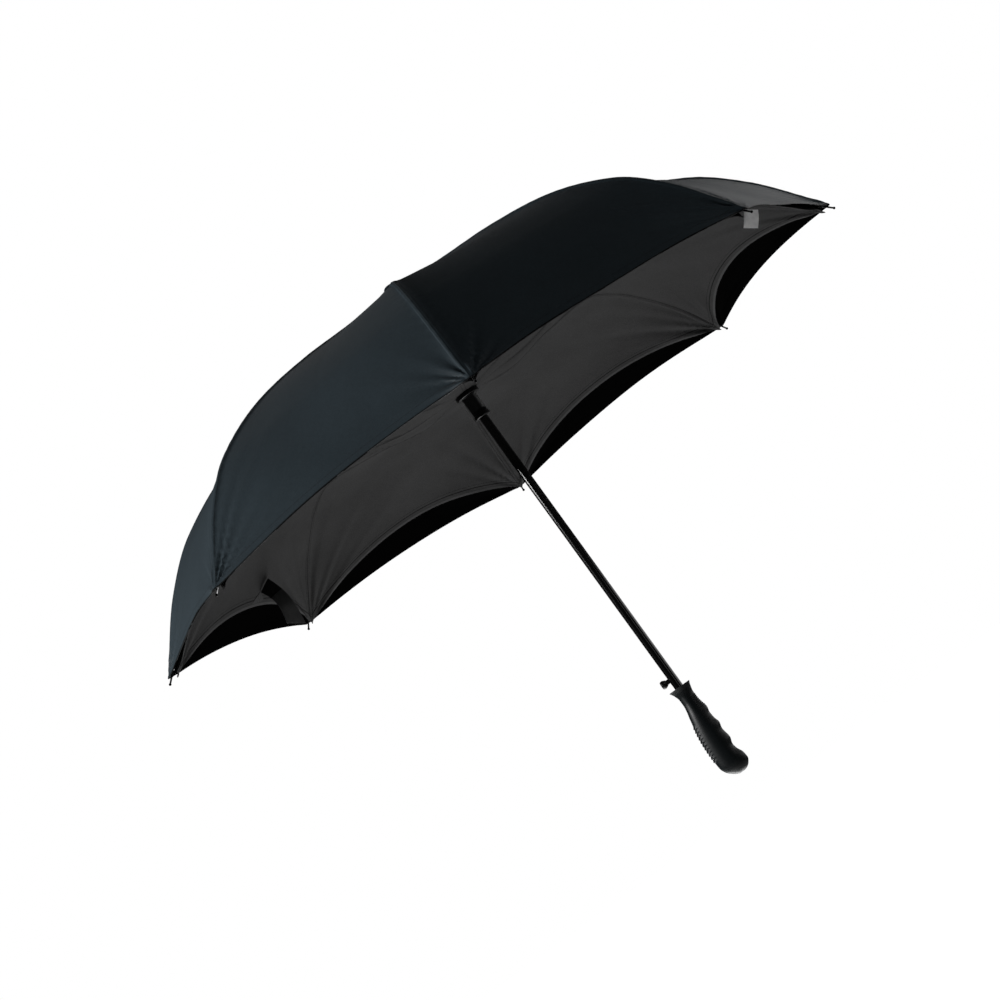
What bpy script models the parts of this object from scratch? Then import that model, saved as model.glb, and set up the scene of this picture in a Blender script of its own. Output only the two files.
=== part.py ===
"""Inverted umbrella, shown open: two canopies on eight jointed ribs, a sliding runner, a steel
shaft and a moulded grip with a push button.

Metres, +Z up along the shaft. The origin is the middle of the hand grip, on the shaft's axis.
Everything is laid out from the mouth, the plane through the eight rib tips, and hangs from one
empty that lifts the mouth above the grip. Rib 1 points along +X and the others follow at equal
steps, counted anticlockwise seen from above.
"""
import math

import bmesh
import bpy
from mathutils import Matrix, Vector

# The canopy and its ribs
RIB_COUNT = 8
TIP_RADIUS = 0.530
CANOPY_HEIGHT = 0.253
GRIP_TO_MOUTH = 0.455
CLOTH = 0.0012
SEAM_GAP = 0.0003
FIT_GAP = 0.0003
OVERRUN = 0.002

# Outer canopy along a rib, as shares of tip radius and canopy height
OUTER_LINE_SHARES = (
    (0.0, 1.0),
    (0.151, 0.909),
    (0.377, 0.824),
    (0.566, 0.724),
    (0.755, 0.541),
    (0.868, 0.334),
    (0.991, 0.0),
)
OUTER_HOLE_RADIUS = 0.0075
OUTER_CORNER_SHARE = 0.986
OUTER_SCALLOP_SHARE = 0.016
OUTER_SAG = 0.005

# Inner canopy along a rib, beyond the runner's flange
INNER_LINE_SHARES = (
    (0.158, 0.328),
    (0.377, 0.427),
    (0.604, 0.498),
    (0.698, 0.447),
    (0.792, 0.340),
    (0.868, 0.221),
    (0.967, 0.010),
)
INNER_CORNER_SHARE = 0.967
INNER_SCALLOP_SHARE = 0.073
INNER_SAG = 0.003

# Cloth grid, steps across a gore and along a rib
GORE_STEPS_ACROSS = 4
GORE_STEPS_ALONG = 18

# Shaft
SHAFT_RADIUS = 0.0060
SHAFT_WALL = 0.0008
SHAFT_INSIDE_RADIUS = SHAFT_RADIUS - SHAFT_WALL
CAP_CLEARANCE = 0.0080
SHAFT_TOP = CANOPY_HEIGHT - CAP_CLEARANCE
SLOT_WIDTH = 0.0026
ROUND_STEPS = 24
HUB_STEPS = 32

# Top notch, which carries the stretchers
NOTCH_PIVOT_DROP = 0.0070
NOTCH_PIVOT_HEIGHT = SHAFT_TOP - NOTCH_PIVOT_DROP
NOTCH_HEIGHT = 0.0100
NOTCH_ROOT_WALL = 0.0022
NOTCH_ROOT_RADIUS = SHAFT_RADIUS + FIT_GAP + NOTCH_ROOT_WALL
HUB_PIVOT_REACH = 0.0035
NOTCH_PIVOT_RADIUS = NOTCH_ROOT_RADIUS + HUB_PIVOT_REACH
HUB_RIM = 0.0030
NOTCH_RADIUS = NOTCH_PIVOT_RADIUS + HUB_RIM
HUB_SLOT_WIDTH = 0.0038
HUB_PIN_RADIUS = 0.0008

# Top cap, which clamps the outer canopy
CAP_RADIUS = 0.0095
CAP_THICKNESS = 0.0012
CAP_EDGE_DROP = 0.0004
CAP_STEM_LENGTH = 0.0120

# Runner
RUNNER_BORE_GAP = 0.0003
RUNNER_BORE_RADIUS = SHAFT_RADIUS + RUNNER_BORE_GAP
RUNNER_BOTTOM = 0.0405
RUNNER_SLEEVE_WALL = 0.0040
RUNNER_SLEEVE_RADIUS = RUNNER_BORE_RADIUS + RUNNER_SLEEVE_WALL
RUNNER_SLEEVE_LENGTH = 0.0330
RUNNER_LIP_DEPTH = 0.0009
RUNNER_LIP_HEIGHT = 0.0050
FLANGE_BOTTOM = RUNNER_BOTTOM + RUNNER_SLEEVE_LENGTH
FLANGE_THICKNESS = 0.0055
FLANGE_TOP = FLANGE_BOTTOM + FLANGE_THICKNESS
FLANGE_OVERHANG = 0.0064
FLANGE_RADIUS = RUNNER_SLEEVE_RADIUS + FLANGE_OVERHANG
RUNNER_NECK_WALL = 0.0017
RUNNER_NECK_RADIUS = RUNNER_BORE_RADIUS + RUNNER_NECK_WALL
RUNNER_NECK_LENGTH = 0.0200
RUNNER_TOP = FLANGE_TOP + RUNNER_NECK_LENGTH
CROWN_PIVOT_RISE = 0.0115
CROWN_PIVOT_HEIGHT = FLANGE_TOP + CROWN_PIVOT_RISE
CROWN_HEIGHT = 0.0120
CROWN_ROOT_WALL = 0.0022
CROWN_ROOT_RADIUS = RUNNER_NECK_RADIUS + FIT_GAP + CROWN_ROOT_WALL
CROWN_PIVOT_RADIUS = CROWN_ROOT_RADIUS + HUB_PIVOT_REACH
CROWN_RADIUS = CROWN_PIVOT_RADIUS + HUB_RIM

# Rib joint, where inner rib, outer rib and stretcher meet
JOINT_RADIUS = 0.2740
JOINT_DROP = 0.0065
EYE_RADIUS = 0.0022
EYE_HOLE_RADIUS = 0.0011
INNER_RIB_WIDTH = 0.0028
INNER_RIB_DEPTH = 0.0034
STRETCHER_WIDTH = 0.0032
STRETCHER_DEPTH = 0.0030
FORK_LENGTH = 0.0700
FORK_ROOT_LENGTH = 0.0060
FORK_ROOT_DEPTH_SHARE = 1.02
EAR_WIDTH = 0.0010
EAR_LENGTH = 0.0110
EAR_BRIDGE_LENGTH = 0.0040
EAR_BRIDGE_DEPTH_SHARE = 0.9
EAR_BRIDGE_PROUD = 0.0002
PRONG_WIDTH = 0.0012
PRONG_INSET = 0.0001
PRONG_DEPTH_SHARE = 0.98
RIVET_RADIUS = 0.0016
RIVET_HEAD = 0.0006
ROD_RADIUS = 0.0017
ROD_DROP = 0.0050
ROD_SIDES = 6
ROD_STEPS = 10
ROD_END_SETBACK = 0.0148
TIP_PIN_RADIUS = 0.0011
TIP_FERRULE_RADIUS = 0.0021
TIP_FERRULE_LENGTH = 0.0060
TIP_BALL_RADIUS = 0.0017
TIP_DROP = 0.0050
ARC_STEPS = 6
PIN_SIDES = 8

# Main spring, its seat and its follower inside the shaft
SPRING_GAP = 0.0004
SPRING_WIRE = 0.0009
SPRING_TURNS = 16
SPRING_TURN_STEPS = 8
SPRING_WIRE_SIDES = 4
SPRING_SEAT_HEIGHT = 0.0080
SPRING_SEAT_TOP = -0.3300
FOLLOWER_HEIGHT = 0.0120
FOLLOWER_RISE = 0.0120
FOLLOWER_BOTTOM = RUNNER_BOTTOM + FOLLOWER_RISE
DRIVE_PIN_RADIUS = 0.0010
DRIVE_PIN_HEIGHT = FOLLOWER_BOTTOM + FOLLOWER_HEIGHT / 2
DRIVE_PIN_WALL_SHARE = 0.67
DRIVE_PIN_REACH = RUNNER_BORE_RADIUS + RUNNER_SLEEVE_WALL * DRIVE_PIN_WALL_SHARE
SLOT_ABOVE_PIN = 0.0160
SLOT_TOP = DRIVE_PIN_HEIGHT + SLOT_ABOVE_PIN
SLOT_ABOVE_SEAT = 0.0040
SLOT_BOTTOM = SPRING_SEAT_TOP + SLOT_ABOVE_SEAT

# Grip and its core
GRIP_TOP = -0.3880
GRIP_LENGTH = 0.1320
GRIP_HALF_DEPTH = 0.0145
GRIP_END_WALL = 0.0180
CORE_WALL = 0.0019
CORE_RADIUS = SHAFT_RADIUS + FIT_GAP + CORE_WALL
CORE_BOTTOM = GRIP_TOP - GRIP_LENGTH + GRIP_END_WALL
CORE_FLOOR = 0.0030
SHAFT_BOTTOM = CORE_BOTTOM + CORE_FLOOR + FIT_GAP
GRIP_SIDES = 20
GRIP_REACH_SHARE = 0.97
# Share of the length down from the top, then finger side, palm side and half depth as shares
# of the half depth
GRIP_SHARES = (
    (0.000, 1.12, 1.10, 1.04),
    (0.022, 1.02, 0.96, 0.94),
    (0.052, 0.93, 0.82, 0.83),
    (0.107, 0.82, 0.68, 0.74),
    (0.165, 0.81, 0.67, 0.73),
    (0.232, 0.89, 0.75, 0.78),
    (0.298, 1.04, 0.90, 0.87),
    (0.363, 0.93, 1.03, 0.92),
    (0.430, 0.98, 1.15, 0.95),
    (0.486, 1.12, 1.24, 0.97),
    (0.555, 0.98, 1.32, 0.99),
    (0.658, 1.11, 1.38, 1.00),
    (0.735, 0.93, 1.39, 1.00),
    (0.777, 0.99, 1.39, 0.99),
    (0.855, 1.29, 1.35, 0.97),
    (0.913, 1.34, 1.13, 0.88),
    (0.965, 1.08, 0.66, 0.68),
    (0.988, 0.80, 0.34, 0.48),
    (1.000, 0.50, 0.10, 0.30),
)

# Push button, measured out from the shaft's axis
BUTTON_ABOVE_GRIP = 0.0135
BUTTON_HEIGHT = GRIP_TOP + BUTTON_ABOVE_GRIP
BUTTON_TRAVEL = 0.0030
BUTTON_STOP_GAP = 0.0008
BUTTON_STEM_RADIUS = 0.0032
BUTTON_STEM_START = 0.0020
BUTTON_NECK_RADIUS = 0.0044
BUTTON_NECK_START = SHAFT_RADIUS + BUTTON_TRAVEL + BUTTON_STOP_GAP
BUTTON_NECK_LENGTH = 0.0010
BUTTON_HEAD_RADIUS = 0.0056
BUTTON_HEAD_RIM = 0.0020
BUTTON_HEAD_DEPTH = 0.0050
BUTTON_SPRING_WIRE = 0.0005
BUTTON_SPRING_RADIUS = 0.0018
BUTTON_SPRING_TURNS = 4

# Closing strap, sewn to the inner hem between ribs 4 and 5, and the blank label on rib 8
STRAP_RIB = 4
STRAP_WIDTH = 0.0205
STRAP_THICKNESS = 0.0012
STRAP_STEPS = 8
STRAP_CORNER_SHARES = (0.423, 0.966)
STRAP_TOWARDS_SHARES = (0.372, 0.929)
STRAP_FALL_SHARES = (-0.065, -0.065, -1.0)
STRAP_SHORT_EDGE = 0.0540
STRAP_LONG_EDGE = 0.0730
STRAP_BOW = 0.0030
STRAP_GAP = 0.0008
LABEL_RIB = 8
LABEL_WIDTH = 0.0200
LABEL_LENGTH = 0.0215
LABEL_THICKNESS = 0.0006
LABEL_CORNER_SHARES = (0.009, 0.998)
LABEL_FALL_SHARES = (-0.42, -0.42, -0.81)
LABEL_WIDTH_SHARES = (0.16, 0.86, -0.40)

# Edges turned more sharply than this are shaded as edges
SHARP_DEGREES = 35


def clear_scene():
    for old in list(bpy.data.objects):
        bpy.data.objects.remove(old, do_unlink=True)


def make_material(name, colour, roughness, metallic):
    material = bpy.data.materials.new(name)
    material.use_nodes = True
    shader = material.node_tree.nodes["Principled BSDF"]
    shader.inputs["Base Color"].default_value = (*colour, 1.0)
    shader.inputs["Roughness"].default_value = roughness
    shader.inputs["Metallic"].default_value = metallic
    return material


def mesh_from(name, points, faces):
    """A mesh of these points and faces, with its faces turned outwards."""
    mesh = bpy.data.meshes.new(name)
    mesh.from_pydata([tuple(p) for p in points], [], faces)
    work = bmesh.new()
    work.from_mesh(mesh)
    bmesh.ops.recalc_face_normals(work, faces=work.faces)
    work.to_mesh(mesh)
    work.free()
    return mesh


def add_object(name, mesh, material, parent, place=(0, 0, 0), turn=0.0):
    """An object for a mesh, turned about the shaft's direction by `turn` radians."""
    item = bpy.data.objects.new(name, mesh)
    bpy.context.scene.collection.objects.link(item)
    if not mesh.materials:
        mesh.materials.append(material)
    mesh.shade_smooth()
    mesh.set_sharp_from_angle(angle=math.radians(SHARP_DEGREES))
    item.parent = parent
    item.location = place
    item.rotation_euler = (0, 0, turn)
    return item


def combine(name, base, others, operation="UNION"):
    """One mesh: `base` with each of the others joined to it, or cut from it."""
    body = bpy.data.objects.new(name, base)
    bpy.context.scene.collection.objects.link(body)
    tools = []
    for number, mesh in enumerate(others):
        tool = bpy.data.objects.new(f"{name}_tool_{number}", mesh)
        bpy.context.scene.collection.objects.link(tool)
        change = body.modifiers.new(f"step_{number}", "BOOLEAN")
        change.operation = operation
        change.solver = "EXACT"
        change.object = tool
        tools.append(tool)
    graph = bpy.context.evaluated_depsgraph_get()
    graph.update()
    result = bpy.data.meshes.new_from_object(body.evaluated_get(graph))
    result.name = name
    for item in [body, *tools]:
        bpy.data.objects.remove(item, do_unlink=True)
    return result


def turned(name, profile, steps=ROUND_STEPS):
    """A round solid from an outline of (radius, height) points, listed once around."""
    points, faces, rings = [], [], []
    for radius, height in profile:
        if radius == 0:
            rings.append([len(points)] * steps)
            points.append((0, 0, height))
            continue
        rings.append(list(range(len(points), len(points) + steps)))
        for k in range(steps):
            angle = math.tau * k / steps
            points.append((radius * math.cos(angle), radius * math.sin(angle), height))
    closed = profile[0][0] > 0
    pairs = list(zip(rings, rings[1:], strict=False))
    if closed:
        pairs.append((rings[-1], rings[0]))
    for low, high in pairs:
        for k in range(steps):
            after = (k + 1) % steps
            corners = [low[k], low[after], high[after], high[k]]
            corners = list(dict.fromkeys(corners))
            if len(corners) > 2:
                faces.append(corners)
    return mesh_from(name, points, faces)


def prism(name, outline, low, high):
    """An outline of (x, z) points in the rib's plane, with its thickness along y."""
    count = len(outline)
    points = [(x, low, z) for x, z in outline] + [(x, high, z) for x, z in outline]
    faces = [list(range(count)), list(range(2 * count - 1, count - 1, -1))]
    for k in range(count):
        after = (k + 1) % count
        faces.append([k, after, count + after, count + k])
    return mesh_from(name, points, faces)


def cross_pin(name, centre, radius, low, high, steps=PIN_SIDES):
    """A round pin along y."""
    outline = [
        (
            centre[0] + radius * math.cos(math.tau * k / steps),
            centre[1] + radius * math.sin(math.tau * k / steps),
        )
        for k in range(steps)
    ]
    return prism(name, outline, low, high)


def link_outline(start, end, start_radius, end_radius, half_depth):
    """A straight bar between two round eyes, as (x, z) points."""
    along = (Vector(end) - Vector(start)).normalized()
    lean = math.atan2(along.y, along.x)
    outline = []
    for centre, radius, facing in ((end, end_radius, lean), (start, start_radius, lean + math.pi)):
        neck = math.asin(min(half_depth / radius, 1.0))
        spread = math.pi - neck
        for k in range(ARC_STEPS + 1):
            angle = facing - spread + 2 * spread * k / ARC_STEPS
            outline.append(
                (centre[0] + radius * math.cos(angle), centre[1] + radius * math.sin(angle))
            )
    return outline


def smooth_line(points, radius):
    """Height and slope at a radius on a smooth curve through the points, with no overshoot."""
    gaps = [b[0] - a[0] for a, b in zip(points, points[1:], strict=False)]
    rises = [
        (b[1] - a[1]) / gap for a, b, gap in zip(points, points[1:], gaps, strict=False)
    ]
    slopes = [rises[0]]
    for before, after in zip(rises, rises[1:], strict=False):
        slopes.append(2 * before * after / (before + after) if before * after > 0 else 0.0)
    slopes.append(rises[-1])
    last = len(points) - 2
    k = next((n for n in range(last) if radius < points[n + 1][0]), last)
    share = (radius - points[k][0]) / gaps[k]
    a, b = points[k][1], points[k + 1][1]
    c, d = slopes[k] * gaps[k], slopes[k + 1] * gaps[k]
    height = (
        (2 * share**3 - 3 * share**2 + 1) * a
        + (share**3 - 2 * share**2 + share) * c
        + (3 * share**2 - 2 * share**3) * b
        + (share**3 - share**2) * d
    )
    rise = (
        (6 * share**2 - 6 * share) * a
        + (3 * share**2 - 4 * share + 1) * c
        + (6 * share - 6 * share**2) * b
        + (3 * share**2 - 2 * share) * d
    )
    return height, rise / gaps[k]


def outer_line_points():
    return [(r * TIP_RADIUS, h * CANOPY_HEIGHT) for r, h in OUTER_LINE_SHARES]


def inner_hole_radius():
    """The gores are flat across, so their hole's corners stand clear of the round neck."""
    return (RUNNER_NECK_RADIUS + FIT_GAP) / math.cos(math.pi / RIB_COUNT)


def outer_bounds():
    return OUTER_HOLE_RADIUS, TIP_RADIUS * OUTER_CORNER_SHARE


def inner_bounds():
    return inner_hole_radius(), TIP_RADIUS * INNER_CORNER_SHARE


def inner_line_points():
    seat = FLANGE_TOP + FIT_GAP + CLOTH
    seated = [(inner_hole_radius(), seat), (FLANGE_RADIUS, seat)]
    return seated + [(r * TIP_RADIUS, h * CANOPY_HEIGHT) for r, h in INNER_LINE_SHARES]


def line_place(points, radius, depth=0.0):
    """Radius and height of a point on a canopy's rib line, `depth` below its outer face."""
    height, slope = smooth_line(points, radius)
    length = math.hypot(1, slope)
    return radius + depth * slope / length, height - depth / length


def rib_joint():
    """Radius and height of the joint in the middle of each rib."""
    return JOINT_RADIUS, smooth_line(outer_line_points(), JOINT_RADIUS)[0] - JOINT_DROP


def gore_point(points, bounds, sag, across, along, scallop_share, depth):
    """A point of the gore between ribs 1 and 2."""
    inner, outer = bounds
    bow = 4 * across * (1 - across)
    radius = inner + (outer - inner) * along * (1 - scallop_share * bow * along)
    place, height = line_place(points, radius, depth)
    step = math.tau / RIB_COUNT
    side = SEAM_GAP / 2
    first = Vector((place, side, 0))
    second = Vector(
        (
            place * math.cos(step) + side * math.sin(step),
            place * math.sin(step) - side * math.cos(step),
            0,
        )
    )
    point = first.lerp(second, across)
    point.z = height - sag * bow * math.sin(math.pi * along)
    return point


def gore_mesh(name, points, bounds, sag, scallop_share):
    """A closed thin shell for one gore: outer face, inner face and the edge around them."""
    columns, rows = GORE_STEPS_ACROSS, GORE_STEPS_ALONG
    places, faces = [], []
    for depth in (0.0, CLOTH):
        for i in range(rows + 1):
            for j in range(columns + 1):
                places.append(
                    gore_point(points, bounds, sag, j / columns, i / rows, scallop_share, depth)
                )
    width = columns + 1
    layer = width * (rows + 1)
    for i in range(rows):
        for j in range(columns):
            corner = i * width + j
            near = [corner, corner + 1, corner + width + 1, corner + width]
            for triangle in (near[:3], [near[0], near[2], near[3]]):
                faces.append(triangle)
                faces.append([layer + k for k in reversed(triangle)])
    around = list(range(width))
    around += [i * width + columns for i in range(1, rows + 1)]
    around += [rows * width + j for j in range(columns - 1, -1, -1)]
    around += [i * width for i in range(rows - 1, 0, -1)]
    for k, start in enumerate(around):
        end = around[(k + 1) % len(around)]
        faces.append([start, end, layer + end])
        faces.append([start, layer + end, layer + start])
    return mesh_from(name, places, faces)


def round_sweep(name, path, radius, sides):
    """A round rod along (x, z) points in the rib's plane."""
    points, faces = [], []
    for k, (x, z) in enumerate(path):
        before, after = path[max(k - 1, 0)], path[min(k + 1, len(path) - 1)]
        along = Vector((after[0] - before[0], after[1] - before[1])).normalized()
        for s in range(sides):
            angle = math.tau * (s + 0.5) / sides
            out, up = radius * math.cos(angle), radius * math.sin(angle)
            points.append((x - along.y * up, out, z + along.x * up))
    for k in range(len(path) - 1):
        for s in range(sides):
            after = (s + 1) % sides
            low, high = k * sides, (k + 1) * sides
            faces.append([low + s, low + after, high + after, high + s])
    faces.append(list(range(sides)))
    faces.append(list(range((len(path) - 1) * sides, len(path) * sides)))
    return mesh_from(name, points, faces)


def slotted_hub(name, bore, root, outer, low, high, pivot_radius, pivot_height):
    """A collar with a slot and a cross pin for each rib."""
    hub = turned(name, [(bore, low), (outer, low), (outer, high), (bore, high)], HUB_STEPS)
    cutters, pins = [], []
    for k in range(RIB_COUNT):
        spin = Matrix.Rotation(math.tau * k / RIB_COUNT, 4, "Z")
        half = HUB_SLOT_WIDTH / 2
        reach = outer + OVERRUN
        outline = [
            (root, low - OVERRUN),
            (reach, low - OVERRUN),
            (reach, high + OVERRUN),
            (root, high + OVERRUN),
        ]
        cutter = prism(f"{name}_slot_{k}", outline, -half, half)
        cutter.transform(spin)
        cutters.append(cutter)
        sink = half + HUB_PIN_RADIUS
        pin = cross_pin(f"{name}_pin_{k}", (pivot_radius, pivot_height), HUB_PIN_RADIUS, -sink, sink)
        pin.transform(spin)
        pins.append(pin)
    return combine(name, combine(name, hub, cutters, "DIFFERENCE"), pins)


def inner_rib_mesh():
    """From the runner's pivot at the origin to the joint."""
    radius, height = rib_joint()
    end = (radius - CROWN_PIVOT_RADIUS, height - CROWN_PIVOT_HEIGHT)
    half = INNER_RIB_WIDTH / 2
    outline = link_outline((0, 0), end, EYE_RADIUS, EYE_RADIUS, INNER_RIB_DEPTH / 2)
    bar = prism("inner_rib", outline, -half, half)
    reach = half + OVERRUN
    holes = [
        cross_pin("inner_rib_hole", (0, 0), EYE_HOLE_RADIUS, -reach, reach),
        cross_pin("joint_hole", end, EYE_HOLE_RADIUS, -reach, reach),
    ]
    return combine("inner_rib", bar, holes, "DIFFERENCE")


def ear_inside():
    return INNER_RIB_WIDTH / 2 + FIT_GAP


def ear_outside():
    return ear_inside() + EAR_WIDTH


def bridge_outside():
    return ear_outside() + EAR_BRIDGE_PROUD


def outer_rib_mesh():
    """From the joint at the origin to the rib tip: clevis, glass-fibre rod and metal tip."""
    line = outer_line_points()
    radius, height = rib_joint()
    first = line_place(line, radius + EAR_LENGTH, ROD_DROP)
    lean = math.atan2(first[1] - height, first[0] - radius)
    along = Vector((math.cos(lean), math.sin(lean)))
    ear_end = tuple(along * (EAR_LENGTH - EYE_RADIUS))
    outline = link_outline((0, 0), ear_end, EYE_RADIUS, EYE_RADIUS, EYE_RADIUS)
    ears = [
        prism("ear", outline, ear_inside(), ear_outside()),
        prism("ear", outline, -ear_outside(), -ear_inside()),
    ]
    start = along * (EAR_LENGTH - EAR_BRIDGE_LENGTH)
    end = along * (EAR_LENGTH + EAR_BRIDGE_PROUD)
    up = Vector((-along.y, along.x)) * EYE_RADIUS * EAR_BRIDGE_DEPTH_SHARE
    bridge = prism(
        "bridge",
        [tuple(start - up), tuple(end - up), tuple(end + up), tuple(start + up)],
        -bridge_outside(),
        bridge_outside(),
    )
    pin = cross_pin("joint_pin", (0, 0), HUB_PIN_RADIUS, -bridge_outside(), bridge_outside())
    last = TIP_RADIUS - ROD_END_SETBACK
    path = [tuple(along * (EAR_LENGTH - EAR_BRIDGE_LENGTH / 2))]
    for k in range(1, ROD_STEPS + 1):
        spot = radius + EAR_LENGTH + (last - radius - EAR_LENGTH) * k / ROD_STEPS
        place = line_place(line, spot, ROD_DROP)
        path.append((place[0] - radius, place[1] - height))
    rod = round_sweep("rod", path, ROD_RADIUS, ROD_SIDES)
    tip = rib_tip_mesh(path[-2], path[-1])
    return combine("outer_rib", bridge, [*ears, pin, rod, tip])


def rib_tip_mesh(before, end):
    """Ferrule, pin and ball, crimped over the rod's end and out to the tip circle."""
    radius, height = rib_joint()
    ball = Vector((TIP_RADIUS - TIP_BALL_RADIUS - radius, -TIP_DROP - height))
    start = Vector(end) - (Vector(end) - Vector(before)).normalized() * TIP_FERRULE_LENGTH / 2
    length = (ball - start).length
    ring = TIP_BALL_RADIUS * math.sqrt(0.5)
    profile = [
        (0, 0),
        (TIP_FERRULE_RADIUS, 0),
        (TIP_FERRULE_RADIUS, TIP_FERRULE_LENGTH),
        (TIP_PIN_RADIUS, TIP_FERRULE_LENGTH + TIP_PIN_RADIUS),
        (TIP_PIN_RADIUS, length - TIP_BALL_RADIUS),
        (ring, length - ring),
        (TIP_BALL_RADIUS, length),
        (ring, length + ring),
        (0, length + TIP_BALL_RADIUS),
    ]
    tip = turned("rib_tip", profile, ROD_SIDES)
    toward = Vector((ball.x - start.x, 0, ball.y - start.y))
    turn = Vector((0, 0, 1)).rotation_difference(toward).to_matrix().to_4x4()
    tip.transform(Matrix.Translation((start.x, 0, start.y)) @ turn)
    return tip


def stretcher_mesh():
    """From the notch's pivot at the origin to the joint: a shank, then a fork astride the rib."""
    radius, height = rib_joint()
    end = Vector((radius - NOTCH_PIVOT_RADIUS, height - NOTCH_PIVOT_HEIGHT))
    along = end.normalized()
    fork = end - along * FORK_LENGTH
    half_depth = STRETCHER_DEPTH / 2
    shank = prism(
        "shank",
        link_outline((0, 0), tuple(fork), EYE_RADIUS, half_depth, half_depth),
        -STRETCHER_WIDTH / 2,
        STRETCHER_WIDTH / 2,
    )
    hole_reach = STRETCHER_WIDTH / 2 + OVERRUN
    hole = cross_pin("notch_hole", (0, 0), EYE_HOLE_RADIUS, -hole_reach, hole_reach)
    shank = combine("shank", shank, [hole], "DIFFERENCE")
    inside = bridge_outside() + FIT_GAP
    outside = inside + PRONG_WIDTH
    root_end = fork + along * FORK_ROOT_LENGTH
    up = Vector((-along.y, along.x)) * half_depth * FORK_ROOT_DEPTH_SHARE
    root_start = fork - along * half_depth
    root = prism(
        "fork_root",
        [
            tuple(root_start - up),
            tuple(root_end - up),
            tuple(root_end + up),
            tuple(root_start + up),
        ],
        -outside,
        outside,
    )
    parts = [root]
    prong_start = fork + along * FORK_ROOT_LENGTH / 2
    prong_depth = half_depth * PRONG_DEPTH_SHARE
    outline = link_outline(tuple(prong_start), tuple(end), half_depth, EYE_RADIUS, prong_depth)
    head = outside + RIVET_HEAD
    for side in (-1, 1):
        edges = sorted((side * inside, side * (outside - PRONG_INSET)))
        parts.append(prism("prong", outline, *edges))
        edges = sorted((side * (inside + FIT_GAP), side * head))
        parts.append(cross_pin("rivet", tuple(end), RIVET_RADIUS, *edges))
    return combine("stretcher", shank, parts)


def coil_mesh(name, radius, wire, low, high, turns, turn_steps, sides):
    """A compression spring as one unbroken tube about +Z, with square-cut ends."""
    steps = turns * turn_steps
    rise = (high - low - 2 * wire) / steps
    points, faces = [], []
    for k in range(steps + 1):
        angle = math.tau * k / turn_steps
        out = Vector((math.cos(angle), math.sin(angle), 0))
        height = low + wire + rise * k
        for s in range(sides):
            turn = math.tau * (s + 0.5) / sides
            spot = out * (radius + wire / 2 * math.cos(turn) * math.sqrt(2))
            spot.z = height + wire / 2 * math.sin(turn) * math.sqrt(2)
            points.append(spot)
    for k in range(steps):
        for s in range(sides):
            after = (s + 1) % sides
            a, b = k * sides + s, k * sides + after
            c, d = (k + 1) * sides + after, (k + 1) * sides + s
            faces.append([a, b, c])
            faces.append([a, c, d])
    faces.append(list(range(sides)))
    faces.append([steps * sides + s for s in range(sides)])
    return mesh_from(name, points, faces)


def shaft_tube_mesh():
    tube = turned(
        "shaft_tube",
        [
            (SHAFT_INSIDE_RADIUS, SHAFT_BOTTOM),
            (SHAFT_RADIUS, SHAFT_BOTTOM),
            (SHAFT_RADIUS, SHAFT_TOP),
            (SHAFT_INSIDE_RADIUS, SHAFT_TOP),
        ],
    )
    half = SLOT_WIDTH / 2
    slot = prism(
        "slot",
        [(-half, SLOT_BOTTOM), (half, SLOT_BOTTOM), (half, SLOT_TOP), (-half, SLOT_TOP)],
        0,
        SHAFT_RADIUS + OVERRUN,
    )
    hole = turned(
        "button_hole",
        [
            (0, 0),
            (BUTTON_STEM_RADIUS + FIT_GAP, 0),
            (BUTTON_STEM_RADIUS + FIT_GAP, SHAFT_RADIUS + OVERRUN),
            (0, SHAFT_RADIUS + OVERRUN),
        ],
        ROUND_STEPS // 2,
    )
    hole.transform(button_frame())
    return combine("shaft_tube", tube, [slot, hole], "DIFFERENCE")


def button_frame():
    """Turns +Z to -X, the side that the button stands out of, at the button's height."""
    return Matrix.Translation((0, 0, BUTTON_HEIGHT)) @ Matrix.Rotation(-math.pi / 2, 4, "Y")


def top_cap_mesh():
    top = CANOPY_HEIGHT + FIT_GAP + CAP_THICKNESS
    under = CANOPY_HEIGHT + FIT_GAP
    stem = SHAFT_INSIDE_RADIUS - FIT_GAP
    flat = CAP_RADIUS - 2 * CAP_EDGE_DROP
    return turned(
        "top_cap",
        [
            (0, top),
            (flat, top),
            (CAP_RADIUS, top - CAP_EDGE_DROP),
            (CAP_RADIUS, under),
            (SHAFT_RADIUS, under),
            (SHAFT_RADIUS, SHAFT_TOP + FIT_GAP),
            (stem, SHAFT_TOP + FIT_GAP),
            (stem, SHAFT_TOP - CAP_STEM_LENGTH),
            (0, SHAFT_TOP - CAP_STEM_LENGTH),
        ],
    )


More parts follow.
